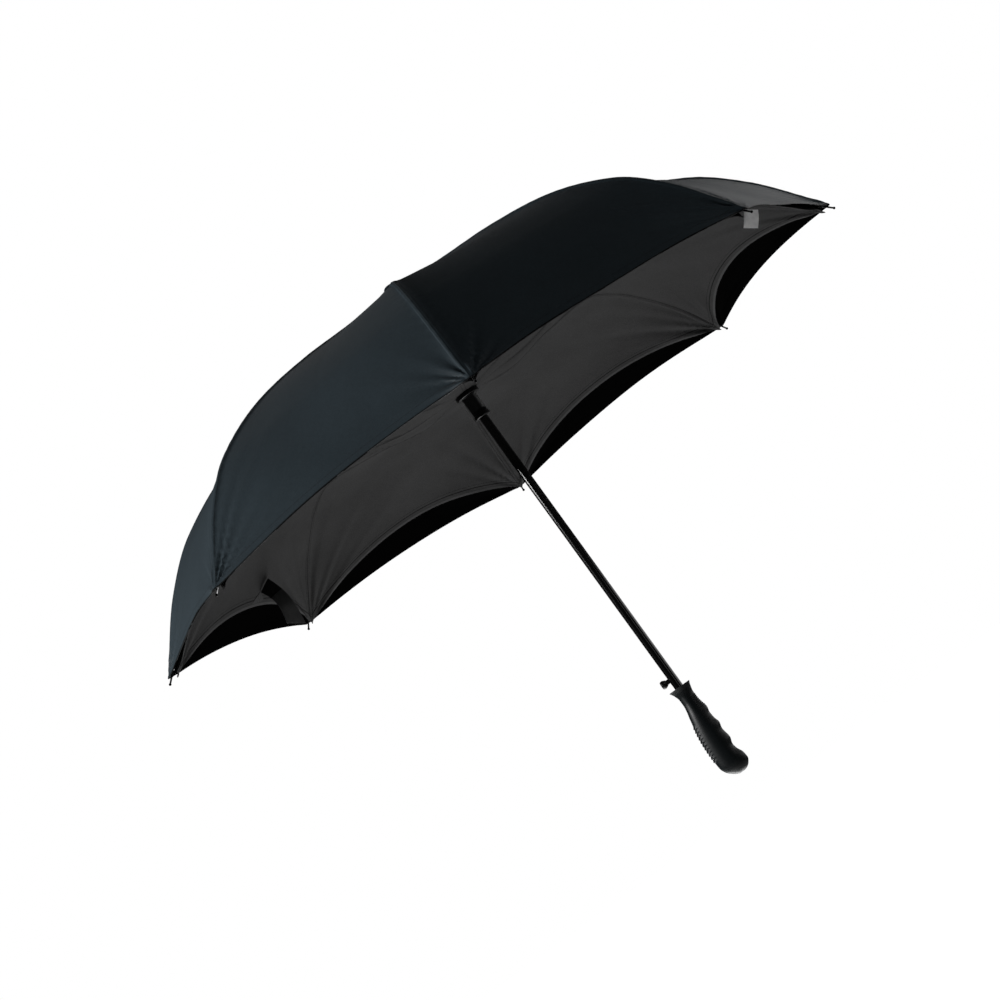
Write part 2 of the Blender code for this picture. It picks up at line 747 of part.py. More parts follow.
def runner_sleeve_mesh():
    bore = RUNNER_BORE_RADIUS
    lip = RUNNER_LIP_DEPTH
    lip_radius = RUNNER_SLEEVE_RADIUS + lip
    sleeve = turned(
        "runner_sleeve",
        [
            (bore, RUNNER_BOTTOM),
            (RUNNER_SLEEVE_RADIUS, RUNNER_BOTTOM),
            (lip_radius, RUNNER_BOTTOM + lip),
            (lip_radius, RUNNER_BOTTOM + RUNNER_LIP_HEIGHT - lip),
            (RUNNER_SLEEVE_RADIUS, RUNNER_BOTTOM + RUNNER_LIP_HEIGHT),
            (RUNNER_SLEEVE_RADIUS, FLANGE_BOTTOM),
            (FLANGE_RADIUS, FLANGE_BOTTOM + lip),
            (FLANGE_RADIUS, FLANGE_TOP),
            (RUNNER_NECK_RADIUS, FLANGE_TOP),
            (RUNNER_NECK_RADIUS, RUNNER_TOP),
            (bore, RUNNER_TOP),
        ],
    )
    reach = DRIVE_PIN_REACH + FIT_GAP
    hole = turned(
        "drive_pin_hole",
        [
            (0, 0),
            (DRIVE_PIN_RADIUS + FIT_GAP, 0),
            (DRIVE_PIN_RADIUS + FIT_GAP, reach),
            (0, reach),
        ],
        ROUND_STEPS // 2,
    )
    hole.transform(drive_pin_frame())
    return combine("runner_sleeve", sleeve, [hole], "DIFFERENCE")


def drive_pin_frame():
    """Turns +Z to +Y, the side of the shaft's slot, at the drive pin's height."""
    return Matrix.Translation((0, 0, DRIVE_PIN_HEIGHT)) @ Matrix.Rotation(-math.pi / 2, 4, "X")


def spring_follower_mesh():
    """The slug that the main spring lifts, with the pin that carries the runner."""
    radius = SHAFT_INSIDE_RADIUS - SPRING_GAP
    slug = turned(
        "spring_follower",
        [
            (0, FOLLOWER_BOTTOM),
            (radius, FOLLOWER_BOTTOM),
            (radius, FOLLOWER_BOTTOM + FOLLOWER_HEIGHT),
            (0, FOLLOWER_BOTTOM + FOLLOWER_HEIGHT),
        ],
    )
    pin = turned(
        "drive_pin",
        [(0, 0), (DRIVE_PIN_RADIUS, 0), (DRIVE_PIN_RADIUS, DRIVE_PIN_REACH), (0, DRIVE_PIN_REACH)],
        ROUND_STEPS // 2,
    )
    pin.transform(drive_pin_frame())
    return combine("spring_follower", slug, [pin])


def spring_seat_mesh():
    radius = SHAFT_INSIDE_RADIUS - FIT_GAP
    low = SPRING_SEAT_TOP - SPRING_SEAT_HEIGHT
    return turned(
        "spring_seat", [(0, low), (radius, low), (radius, SPRING_SEAT_TOP), (0, SPRING_SEAT_TOP)]
    )


def main_spring_mesh():
    wire = SPRING_WIRE
    radius = SHAFT_INSIDE_RADIUS - SPRING_GAP - wire
    low, high = SPRING_SEAT_TOP + FIT_GAP, FOLLOWER_BOTTOM - FIT_GAP
    return coil_mesh(
        "main_spring",
        radius,
        wire,
        low,
        high,
        SPRING_TURNS,
        SPRING_TURN_STEPS,
        SPRING_WIRE_SIDES,
    )


def push_button_mesh():
    """Stem, neck and mushroom head about +Z, before the turn to the shaft's side."""
    neck = BUTTON_NECK_START
    face = neck + BUTTON_NECK_LENGTH + BUTTON_HEAD_RIM + BUTTON_HEAD_DEPTH
    return turned(
        "push_button",
        [
            (0, BUTTON_STEM_START),
            (BUTTON_STEM_RADIUS, BUTTON_STEM_START),
            (BUTTON_STEM_RADIUS, neck),
            (BUTTON_NECK_RADIUS, neck + FIT_GAP),
            (BUTTON_NECK_RADIUS, neck + BUTTON_NECK_LENGTH),
            (BUTTON_HEAD_RADIUS, neck + BUTTON_NECK_LENGTH + BUTTON_HEAD_RIM),
            (BUTTON_HEAD_RADIUS, face - BUTTON_HEAD_RIM / 2),
            (BUTTON_HEAD_RADIUS - BUTTON_HEAD_RIM / 2, face),
            (0, face),
        ],
    )


def button_spring_mesh():
    """Between the stem's inner end and the far wall of the shaft."""
    far = -SHAFT_INSIDE_RADIUS + FIT_GAP + BUTTON_SPRING_WIRE
    return coil_mesh(
        "button_spring",
        BUTTON_SPRING_RADIUS,
        BUTTON_SPRING_WIRE,
        far,
        BUTTON_STEM_START - FIT_GAP,
        BUTTON_SPRING_TURNS,
        SPRING_TURN_STEPS,
        SPRING_WIRE_SIDES,
    )


def grip_ring(share, finger_share, palm_share, depth_share):
    """One level ring of the grip; fingers on +X, palm on -X."""
    height = GRIP_TOP - share * GRIP_LENGTH
    ring = []
    for k in range(GRIP_SIDES):
        angle = math.tau * k / GRIP_SIDES
        reach_share = finger_share if math.cos(angle) > 0 else palm_share
        ring.append(
            (
                GRIP_HALF_DEPTH * reach_share * GRIP_REACH_SHARE * math.cos(angle),
                GRIP_HALF_DEPTH * depth_share * math.sin(angle),
                height,
            )
        )
    return ring


def handle_grip_mesh():
    points, faces = [], []
    for shares in GRIP_SHARES:
        points += grip_ring(*shares)
    sides = GRIP_SIDES
    for k in range(len(GRIP_SHARES) - 1):
        for s in range(sides):
            after = (s + 1) % sides
            a, b = k * sides + s, k * sides + after
            faces.append([a, b, b + sides])
            faces.append([a, b + sides, a + sides])
    faces.append(list(range(sides)))
    faces.append([len(points) - sides + s for s in range(sides)])
    grip = mesh_from("handle_grip", points, faces)
    bore = CORE_RADIUS + FIT_GAP
    low = CORE_BOTTOM - FIT_GAP
    high = GRIP_TOP + OVERRUN
    cutter = turned("core_bore", [(0, low), (bore, low), (bore, high), (0, high)])
    return combine("handle_grip", grip, [cutter], "DIFFERENCE")


def handle_core_mesh():
    """The rigid cup inside the grip that the shaft is pressed into."""
    bore = SHAFT_RADIUS + FIT_GAP
    floor = CORE_BOTTOM + CORE_FLOOR
    return turned(
        "handle_core",
        [
            (0, CORE_BOTTOM),
            (CORE_RADIUS, CORE_BOTTOM),
            (CORE_RADIUS, GRIP_TOP),
            (bore, GRIP_TOP),
            (bore, floor),
            (0, floor),
        ],
    )


def band_mesh(name, edges, thickness):
    """A flat band through pairs of points on its two edges, `thickness` deep."""
    points, faces = [], []
    for k, (left, right) in enumerate(edges):
        before, after = edges[max(k - 1, 0)], edges[min(k + 1, len(edges) - 1)]
        run = after[0] + after[1] - before[0] - before[1]
        normal = run.cross(right - left).normalized()
        for spot, up in ((left, -1), (right, -1), (right, 1), (left, 1)):
            points.append(spot + normal * up * thickness / 2)
    for k in range(len(edges) - 1):
        for s in range(4):
            after = (s + 1) % 4
            a, b = k * 4 + s, k * 4 + after
            faces.append([a, b, b + 4])
            faces.append([a, b + 4, a + 4])
    faces += [[0, 1, 2], [0, 2, 3]]
    last = len(points) - 4
    faces += [[last, last + 2, last + 1], [last, last + 3, last + 2]]
    return mesh_from(name, points, faces)


def under_gore(points, bounds, sag, scallop_share, across, along, depth):
    """A point below a gore's outer face, and the direction down and away from the cloth."""
    spot = gore_point(points, bounds, sag, across, along, scallop_share, 0.0)
    step = SEAM_GAP / TIP_RADIUS
    aside = gore_point(points, bounds, sag, across + step, along, scallop_share, 0.0)
    further = gore_point(points, bounds, sag, across, along + step, scallop_share, 0.0)
    away = (aside - spot).cross(further - spot).normalized()
    if away.z > 0:
        away = -away
    return spot + away * depth, away


def strap_mesh():
    """Hangs from the inner hem, its top edge along the cloth and its end cut aslant."""
    depth = CLOTH + STRAP_GAP
    inner = (inner_line_points(), inner_bounds(), INNER_SAG, INNER_SCALLOP_SHARE)
    left = under_gore(*inner, *STRAP_CORNER_SHARES, depth)[0]
    slant = under_gore(*inner, *STRAP_TOWARDS_SHARES, depth)[0] - left
    right = left + slant * (STRAP_WIDTH / math.hypot(slant.x, slant.y))
    fall = Vector(STRAP_FALL_SHARES)
    bulge = fall.cross(slant).normalized() * STRAP_BOW
    edges = []
    for k in range(STRAP_STEPS + 1):
        share = k / STRAP_STEPS
        bow = bulge * math.sin(math.pi * share)
        edges.append(
            (left + fall * STRAP_SHORT_EDGE * share + bow, right + fall * STRAP_LONG_EDGE * share + bow)
        )
    return band_mesh("strap", edges, STRAP_THICKNESS)


def label_mesh():
    """A blank fabric label that hangs by one corner from the outer canopy's inside."""
    depth = CLOTH + FIT_GAP + LABEL_THICKNESS / 2
    outer = (outer_line_points(), outer_bounds(), OUTER_SAG, OUTER_SCALLOP_SHARE)
    left = under_gore(*outer, *LABEL_CORNER_SHARES, depth)[0]
    fall = Vector(LABEL_FALL_SHARES).normalized() * LABEL_LENGTH
    width = Vector(LABEL_WIDTH_SHARES).normalized() * LABEL_WIDTH
    edges = [(left, left + width), (left + fall, left + width + fall)]
    return band_mesh("label", edges, LABEL_THICKNESS)


def build_canopies(parent, outer_cloth, inner_cloth):
    outer = gore_mesh(
        "outer_gore",
        outer_line_points(),
        outer_bounds(),
        OUTER_SAG,
        OUTER_SCALLOP_SHARE,
    )
    inner = gore_mesh(
        "inner_gore",
        inner_line_points(),
        inner_bounds(),
        INNER_SAG,
        INNER_SCALLOP_SHARE,
    )
    for k in range(RIB_COUNT):
        turn = math.tau * k / RIB_COUNT
        add_object(f"outer_gore_{k + 1}", outer, outer_cloth, parent, turn=turn)
        add_object(f"inner_gore_{k + 1}", inner, inner_cloth, parent, turn=turn)


def build_ribs(parent, steel, fibre):
    inner, outer, stretcher = inner_rib_mesh(), outer_rib_mesh(), stretcher_mesh()
    radius, height = rib_joint()
    kinds = (
        ("inner_rib", inner, steel, CROWN_PIVOT_RADIUS, CROWN_PIVOT_HEIGHT),
        ("outer_rib", outer, fibre, radius, height),
        ("stretcher", stretcher, steel, NOTCH_PIVOT_RADIUS, NOTCH_PIVOT_HEIGHT),
    )
    for k in range(RIB_COUNT):
        turn = math.tau * k / RIB_COUNT
        for name, mesh, material, out, up in kinds:
            place = (out * math.cos(turn), out * math.sin(turn), up)
            add_object(f"{name}_{k + 1}", mesh, material, parent, place, turn)


def build_shaft(parent, lacquer, plastic, steel):
    notch = slotted_hub(
        "top_notch",
        SHAFT_RADIUS + FIT_GAP,
        NOTCH_ROOT_RADIUS,
        NOTCH_RADIUS,
        NOTCH_PIVOT_HEIGHT - NOTCH_HEIGHT / 2,
        NOTCH_PIVOT_HEIGHT + NOTCH_HEIGHT / 2,
        NOTCH_PIVOT_RADIUS,
        NOTCH_PIVOT_HEIGHT,
    )
    add_object("shaft_tube", shaft_tube_mesh(), lacquer, parent)
    add_object("top_notch", notch, plastic, parent)
    add_object("top_cap", top_cap_mesh(), plastic, parent)
    add_object("spring_seat", spring_seat_mesh(), plastic, parent)
    add_object("main_spring", main_spring_mesh(), steel, parent)


def build_runner(parent, plastic, steel):
    crown = slotted_hub(
        "runner_crown",
        RUNNER_NECK_RADIUS + FIT_GAP,
        CROWN_ROOT_RADIUS,
        CROWN_RADIUS,
        CROWN_PIVOT_HEIGHT - CROWN_HEIGHT / 2,
        CROWN_PIVOT_HEIGHT + CROWN_HEIGHT / 2,
        CROWN_PIVOT_RADIUS,
        CROWN_PIVOT_HEIGHT,
    )
    add_object("runner_sleeve", runner_sleeve_mesh(), plastic, parent)
    add_object("runner_crown", crown, plastic, parent)
    add_object("spring_follower", spring_follower_mesh(), steel, parent)


def build_handle(parent, rubber, plastic, steel):
    add_object("handle_grip", handle_grip_mesh(), rubber, parent)
    add_object("handle_core", handle_core_mesh(), plastic, parent)
    for name, mesh, material in (
        ("push_button", push_button_mesh(), plastic),
        ("button_spring", button_spring_mesh(), steel),
    ):
        item = add_object(name, mesh, material, parent)
        item.matrix_local = button_frame()


def build_trimmings(parent, webbing, label_cloth):
    strap_turn = math.tau * (STRAP_RIB - 1) / RIB_COUNT
    add_object("strap", strap_mesh(), webbing, parent, turn=strap_turn)
    label_turn = math.tau * (LABEL_RIB - 1) / RIB_COUNT
    add_object("label", label_mesh(), label_cloth, parent, turn=label_turn)


def main():
    clear_scene()
    umbrella = bpy.data.objects.new("umbrella", None)
    bpy.context.scene.collection.objects.link(umbrella)
    umbrella.location = (0, 0, GRIP_TO_MOUTH)
    outer_cloth = make_material("outer_cloth", (0.012, 0.018, 0.021), 0.55, 0.0)
    inner_cloth = make_material("inner_cloth", (0.045, 0.045, 0.046), 0.7, 0.0)
    webbing = make_material("webbing", (0.03, 0.03, 0.03), 0.8, 0.0)
    label_cloth = make_material("label_cloth", (0.75, 0.75, 0.74), 0.8, 0.0)
    lacquer = make_material("lacquered_steel", (0.01, 0.01, 0.011), 0.25, 0.3)
    steel = make_material("bright_steel", (0.45, 0.45, 0.46), 0.35, 1.0)
    fibre = make_material("glass_fibre", (0.02, 0.02, 0.02), 0.4, 0.0)
    plastic = make_material("black_plastic", (0.012, 0.012, 0.013), 0.4, 0.0)
    rubber = make_material("grip_rubber", (0.009, 0.011, 0.012), 0.75, 0.0)
    build_canopies(umbrella, outer_cloth, inner_cloth)
    build_ribs(umbrella, steel, fibre)
    build_shaft(umbrella, lacquer, plastic, steel)
    build_runner(umbrella, plastic, steel)
    build_handle(umbrella, rubber, plastic, steel)
    build_trimmings(umbrella, webbing, label_cloth)


main()
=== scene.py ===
"""The looks of an open inverted umbrella: cloth, seams, grip and finishes around its fixed frame.

Metres. Heights are counted from the mouth, the plane through the eight rib tips, and `lifted`
adds the mouth's height above the frame's origin in the grip. Rib 1 points along +X and the others
follow anticlockwise, seen from above. Gore k lies between rib k and rib k + 1.
"""
import itertools
import math

import bmesh
import bpy
import numpy as np
from mathutils import Matrix, Vector


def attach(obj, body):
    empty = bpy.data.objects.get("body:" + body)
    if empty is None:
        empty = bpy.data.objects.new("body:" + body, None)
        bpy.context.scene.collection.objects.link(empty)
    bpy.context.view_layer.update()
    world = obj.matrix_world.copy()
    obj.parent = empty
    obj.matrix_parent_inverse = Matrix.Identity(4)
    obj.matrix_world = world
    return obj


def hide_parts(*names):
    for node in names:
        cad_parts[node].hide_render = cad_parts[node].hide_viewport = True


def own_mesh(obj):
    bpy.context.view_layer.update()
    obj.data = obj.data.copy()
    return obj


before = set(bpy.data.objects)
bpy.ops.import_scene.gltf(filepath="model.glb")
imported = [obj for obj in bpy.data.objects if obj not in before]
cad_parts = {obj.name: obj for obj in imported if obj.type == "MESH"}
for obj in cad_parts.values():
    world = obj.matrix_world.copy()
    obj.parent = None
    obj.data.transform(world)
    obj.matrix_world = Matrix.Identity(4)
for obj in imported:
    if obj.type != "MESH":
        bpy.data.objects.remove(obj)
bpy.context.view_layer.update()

# The canopies' driving sizes, the same as the frame's
RIB_COUNT = 8
STEP = math.tau / RIB_COUNT
TIP_RADIUS = 0.530
CANOPY_HEIGHT = 0.253
MOUTH_HEIGHT = 0.455
JOINT_RADIUS = 0.274
HUB_RADIUS = 0.0167
FLANGE_TOP = 0.0790
INNER_HOLE_RADIUS = 0.0090
OUTER_HOLE_RADIUS = 0.0075
# Radius and height along a rib, as shares of the tip radius and of the canopy's height
OUTER_LINE_SHARES = (
    (0.0, 1.0), (0.151, 0.909), (0.377, 0.824), (0.566, 0.724),
    (0.755, 0.541), (0.868, 0.334), (0.991, 0.0),
)
INNER_LINE_SHARES = (
    (0.158, 0.328), (0.377, 0.427), (0.604, 0.498), (0.698, 0.447),
    (0.792, 0.340), (0.868, 0.221), (0.967, 0.010),
)

# Cloth, seams and hems
CLOTH_THICKNESS = 0.0006
HEM_WIDTH = 0.0074
# Distance in from the hem's edge and the cloth's thickness there: a rolled edge on a turned hem
HEM_PROFILE = (
    (0.0, 0.0008), (0.0008, 0.0019), (0.0020, 0.0019),
    (0.0028, 0.0010), (0.0066, 0.0010), (0.0074, 0.0006),
)
HEM_ROWS = (0.0074, 0.0066, 0.0046, 0.0028, 0.0020, 0.0014, 0.0008, 0.0003, 0.0)
SEAM_SHARES = (0.0, 0.0022, 0.0048, 0.0078, 0.0105, 0.0135, 0.0175, 0.0230)
FELL_WIDTH = 0.0042
FELL_EDGE = 0.0012
FLAP_STEP = 0.0008
FLAP_SHARES = (0.004, 0.35, 0.7, 1.0)
ARC_SAMPLES = 400
NUDGE_SHARE = 0.0005
NUDGE = 0.0002
SMALLEST = 1e-15
FACING_SHARE = 0.6

# Columns across half a petal and rows along it, with the powers that draw them together
CROWN_COLUMNS = (12, 1.1)
RIM_COLUMNS = (24, 1.2)
CROWN_ROWS = 24
RIM_ROWS = (34, 1.3)

# Folds that fan out from a rib tip, and slow waves: the spread of their random draws
RAY_TURN_SPREAD = 0.05
RAY_HEIGHT_SHARES = (0.45, 1.25)
RAY_LENGTH_SHARES = (0.6, 1.4)
VALLEY_SHARE = -0.8
WAVE_SHARES = (0.3, 1.0)
# Half waves across a gore, and radians a metre along it
WAVES = ((1, 18), (2, 11), (3, 25), (2, 31))
WRINKLE_SLANT = 260
CREASE_WIDTH = 0.004
CREASE_FADE = (0.01, 0.05)
CALM_REACH = 0.05

# Rings of air holes in the inner canopy, two to a gore
RING_RADIUS = 0.0185
RING_PLACE = 0.165
RING_SHARE = 0.25
RING_HOLES = 12
HOLE_RADIUS = 0.0019
HOLE_SIDES = 10
PUNCH_REACH = 0.004

# A sheet's flat width is worked out with this much to spare
SPARE_SHARE = 1.02
TAB_SPARE_SHARE = 1.05

# Camera: the photograph is 1000 pixels square
PICTURE_SIZE = 1000
PICTURE_CENTRE = (501.57, 441.96)
FOCAL_PIXELS = 2337.47
SENSOR_WIDTH = 36.0
CAMERA_RISE_DEGREES = 8.0
CAMERA_YAW_DEGREES = 1.683
CAMERA_ROLL_DEGREES = -35.905
CAMERA_DISTANCE = 3.0209

# Surroundings
FLOOR_HEIGHT = -1.50
FLOOR_SIZE = 60.0
FLOOR_COLOUR = (0.8, 0.8, 0.8)
FILL_LEVEL = 0.03


def lifted(height):
    return height + MOUTH_HEIGHT


def smooth_heights(points, radii):
    """Heights at these radii on a smooth curve through the points, with no overshoot."""
    x = np.array([p[0] for p in points])
    y = np.array([p[1] for p in points])
    gaps = np.diff(x)
    rises = np.diff(y) / gaps
    slopes = np.concatenate(([rises[0]], np.zeros(len(x) - 2), [rises[-1]]))
    for k in range(1, len(x) - 1):
        before, after = rises[k - 1], rises[k]
        if before * after > 0:
            slopes[k] = 2 * before * after / (before + after)
    k = np.clip(np.searchsorted(x, radii) - 1, 0, len(x) - 2)
    s = (radii - x[k]) / gaps[k]
    start, end = slopes[k] * gaps[k], slopes[k + 1] * gaps[k]
    return (
        (2 * s**3 - 3 * s**2 + 1) * y[k]
        + (s**3 - 2 * s**2 + s) * start
        + (3 * s**2 - 2 * s**3) * y[k + 1]
        + (s**3 - s**2) * end
    )


def fade(value, start, end):
    """0 at start, 1 at end, smooth between."""
    share = np.clip((value - start) / (end - start), 0.0, 1.0)
    return share * share * (3 - 2 * share)


def bow(share):
    """0 at both ribs and 1 in the middle of a gore."""
    return 4 * share * (1 - share)


def unit(vectors):
    """Each vector at length 1. One of no length stays as it is."""
    return vectors / np.maximum(np.linalg.norm(vectors, axis=-1, keepdims=True), SMALLEST)


class Canopy:
    """One canopy's surface, as a function of gore number, share across the gore and radius."""

    def __init__(self, points, hole, folds):
        self.points = points
        self.hole = hole
        self.corner = folds["corner_share"] * TIP_RADIUS
        self.folds = folds
        self.arc_radii = np.linspace(0.0, TIP_RADIUS, ARC_SAMPLES)
        heights = smooth_heights(points, np.maximum(self.arc_radii, points[0][0]))
        steps = np.hypot(np.diff(self.arc_radii), np.diff(heights))
        self.arcs = np.concatenate(([0.0], np.cumsum(steps)))
        random = np.random.default_rng(folds["seed"])
        rays = len(folds["angles"])
        tips = (RIB_COUNT, 2, rays)
        self.ray_angles = np.radians(folds["angles"]) + random.normal(0, RAY_TURN_SPREAD, tips)
        self.ray_heights = folds["height"] * random.uniform(*RAY_HEIGHT_SHARES, tips)
        self.ray_heights *= np.where(np.arange(rays) % 2 == 0, 1.0, VALLEY_SHARE)
        self.ray_lengths = folds["length"] * random.uniform(*RAY_LENGTH_SHARES, tips)
        gores = (RIB_COUNT, len(WAVES))
        self.waves = random.uniform(0, math.tau, gores)
        self.wave_heights = folds["wave"] * random.uniform(*WAVE_SHARES, gores)

    def arc(self, radius):
        """Length of cloth from the shaft to this radius."""
        return np.interp(radius, self.arc_radii, self.arcs)

    def hem_radius(self, share):
        scallop = self.folds["scallop_share"] * bow(share) ** self.folds["scallop_power"]
        return self.hole + (self.corner - self.hole) * (1 - scallop)

    def base(self, gore, share, radius):
        first, second = gore * STEP, (gore + 1) * STEP
        x = radius * ((1 - share) * np.cos(first) + share * np.cos(second))
        y = radius * ((1 - share) * np.sin(first) + share * np.sin(second))
        along = np.clip((radius - self.hole) / (self.corner - self.hole), 0, 1)
        sag = self.folds["sag"] * bow(share) * np.sin(math.pi * along)
        return np.stack([x, y, smooth_heights(self.points, radius) - sag], -1)

    def tip_folds(self, rib, side, aside, inward):
        """Folds that fan out from a rib tip into the gore beside it."""
        total = np.zeros_like(aside)
        for j in range(self.ray_angles.shape[2]):
            angle = self.ray_angles[rib, side, j]
            forward = inward * np.cos(angle) + aside * np.sin(angle)
            across = aside * np.cos(angle) - inward * np.sin(angle)
            spread = self.folds["wide"] + self.folds["widen_share"] * np.maximum(forward, 0)
            ridge = np.exp(-((across / spread) ** 2))
            grow = fade(forward, 0.0, self.folds["grow"])
            die = np.exp(-np.maximum(forward, 0) / self.ray_lengths[rib, side, j])
            total += self.ray_heights[rib, side, j] * ridge * grow * die
        return total * fade(aside, 0.0, self.folds["seam_hold"])

    def seam_relief(self, side, aside, inward, rib):
        """The seam's own ridge, the wrinkles beside it and the felled edge on one side."""
        folds = self.folds
        hold = np.exp(-aside / folds["wrinkle_reach"]) * fade(aside, 0.0, folds["seam_hold"])
        phase = math.tau * inward / folds["wrinkle_pitch"] + aside * WRINKLE_SLANT + rib
        total = folds["wrinkle"] * hold * np.sin(phase)
        total += folds["seam_rise"] * np.exp(-((aside / folds["seam_wide"]) ** 2))
        if side == folds["fell_side"]:
            fell = 1 - fade(aside, FELL_WIDTH, FELL_WIDTH + FELL_EDGE)
            total += folds["fell_rise"] * fell * fade(aside, 0.0, FELL_EDGE)
        return total

    def relief(self, gore, share, radius):
        """Folds, seam wrinkles and slow waves, as a height along the surface's normal."""
        width = 2 * radius * math.sin(STEP / 2)
        inward = self.arc(np.full_like(radius, self.corner)) - self.arc(radius)
        total = np.zeros_like(radius)
        for side, aside in ((0, share * width), (1, (1 - share) * width)):
            rib = (gore + side).astype(int) % RIB_COUNT
            total += self.tip_folds(rib, side, aside, inward)
            total += self.seam_relief(side, aside, inward, rib)
        crease = np.exp(-(((share - 0.5) * width / CREASE_WIDTH) ** 2))
        total -= self.folds["crease"] * crease * fade(inward, *CREASE_FADE)
        gores = gore.astype(int) % RIB_COUNT
        for j, (across, along) in enumerate(WAVES):
            wave = np.sin(math.pi * across * share + along * inward + self.waves[gores, j])
            total += self.wave_heights[gores, j] * bow(share) * wave
        return total * fade(radius, self.folds["calm"], self.folds["calm"] + CALM_REACH)

    def facing(self, surface, gore, share, radius):
        """The way out of a surface, which is this canopy's base or its point."""
        low, high = np.maximum(share - NUDGE_SHARE, 0), np.minimum(share + NUDGE_SHARE, 1)
        across = surface(gore, high, radius) - surface(gore, low, radius)
        out = surface(gore, share, radius + NUDGE) - surface(gore, share, radius - NUDGE)
        return unit(np.cross(out, across))

    def base_normal(self, *place):
        return self.facing(self.base, *place)

    def point(self, *place):
        return self.base(*place) + self.base_normal(*place) * self.relief(*place)[..., None]

    def normal(self, *place):
        return self.facing(self.point, *place)


# Cut and folds of the outer and the inner canopy: metres, and degrees from the rib
FOLDS = {
    "seed": (11, 23),
    "corner_share": (0.990, 0.975),
    "scallop_share": (0.019, 0.081),
    "scallop_power": (1.0, 0.80),
    "sag": (0.005, 0.003),
    "angles": ((7, 15, 24, 34, 45, 57, 70), (5, 11, 18, 27, 38, 52)),
    "height": (0.0042, 0.0034),
    "length": (0.050, 0.085),
    "wide": (0.0018, 0.0022),
    "widen_share": (0.055, 0.050),
    "grow": (0.016, 0.020),
    "seam_hold": (0.003, 0.003),
    "seam_rise": (0.0018, -0.0020),
    "seam_wide": (0.0045, 0.0034),
    "fell_side": (1, 0),
    "fell_rise": (0.0007, -0.0007),
    "wrinkle": (0.0003, 0.0002),
    "wrinkle_reach": (0.012, 0.010),
    "wrinkle_pitch": (0.017, 0.014),
    "crease": (0.0005, 0.0),
    "wave": (0.0012, 0.0012),
    "calm": (0.03, 0.03),
}


def canopy_from(column, hole, line, hub=()):
    """The canopy in one column of the table, its rib line after its points on the hub."""
    points = [(radius * TIP_RADIUS, height * CANOPY_HEIGHT) for radius, height in line]
    return Canopy([*hub, *points], hole, {key: pair[column] for key, pair in FOLDS.items()})


INNER_SEAT = FLANGE_TOP + 2 * CLOTH_THICKNESS
INNER_HUB = ((INNER_HOLE_RADIUS, INNER_SEAT), (HUB_RADIUS, INNER_SEAT))
OUTER = canopy_from(0, OUTER_HOLE_RADIUS, OUTER_LINE_SHARES)
INNER = canopy_from(1, INNER_HOLE_RADIUS, INNER_LINE_SHARES, INNER_HUB)

# The chord between two ribs cuts a gore's radius by this share at the rib's neighbour
CHORD_SHARE = 1 - math.cos(STEP)


def petal_columns(count, power):
    """Signed shares of a gore, from one gore's middle across a rib's seam to the next middle."""
    first = SEAM_SHARES[-1]
    further = [first + (0.5 - first) * (k / count) ** power for k in range(1, count + 1)]
    half = [*SEAM_SHARES, *further]
    return np.array([-share for share in reversed(half[1:])] + half)


def gore_of(rib, signed):
    """Gore number and share across it for a signed share beside a rib."""
    gore = np.where(signed < 0, rib - 1, rib)
    share = np.where(signed < 0, 1 + signed, signed)
    return gore.astype(float), share


def crown_rows(count, flap):
    """Rows from the hole to the joint's line, then a flap tucked behind the rim's cloth."""
    rows = [("in", k / count) for k in range(count + 1)]
    return rows + [("flap", flap * share) for share in FLAP_SHARES]


def petal_grid(canopy, rib, columns, rows, flap_side):
    """Radii of the petal's points and how far each lies behind the cloth's face."""
    signed = np.repeat(columns[None, :], len(rows), 0)
    near = 1 - CHORD_SHARE * np.abs(signed)
    share = np.abs(signed)
    hem = canopy.hem_radius(share) * near
    hole = canopy.hole * near
    distance = np.zeros_like(signed)
    tuck = np.zeros_like(signed)
    for i, (kind, value) in enumerate(rows):
        if kind == "in":
            distance[i] = hole[i] + (JOINT_RADIUS - hole[i]) * value
        elif kind == "flap":
            distance[i] = JOINT_RADIUS + value
            tuck[i] = FLAP_STEP * flap_side
        elif kind == "out":
            distance[i] = JOINT_RADIUS + (hem[i] - HEM_WIDTH - JOINT_RADIUS) * value
        else:
            distance[i] = hem[i] - value
    radius = distance / near
    gore, gore_share = gore_of(rib, signed)
    return signed, gore, gore_share, radius, tuck


def shell_faces(rows, columns):
    """Faces of a closed thin shell of two layers, each with its points row by row."""
    layer = rows * columns
    faces = []
    for i in range(rows - 1):
        for j in range(columns - 1):
            a = i * columns + j
            b = a + columns
            faces.append((a, b, b + 1, a + 1))
            faces.append((layer + a, layer + a + 1, layer + b + 1, layer + b))
    rim = list(range(columns))
    rim += [i * columns + columns - 1 for i in range(1, rows)]
    rim += [(rows - 1) * columns + j for j in range(columns - 2, -1, -1)]
    rim += [i * columns for i in range(rows - 2, 0, -1)]
    for k, a in enumerate(rim):
        b = rim[(k + 1) % len(rim)]
        faces.append((a, b, layer + b, layer + a))
    return faces


def new_mesh(name, points, faces):
    mesh = bpy.data.meshes.new(name)
    mesh.from_pydata(points, [], faces)
    return mesh


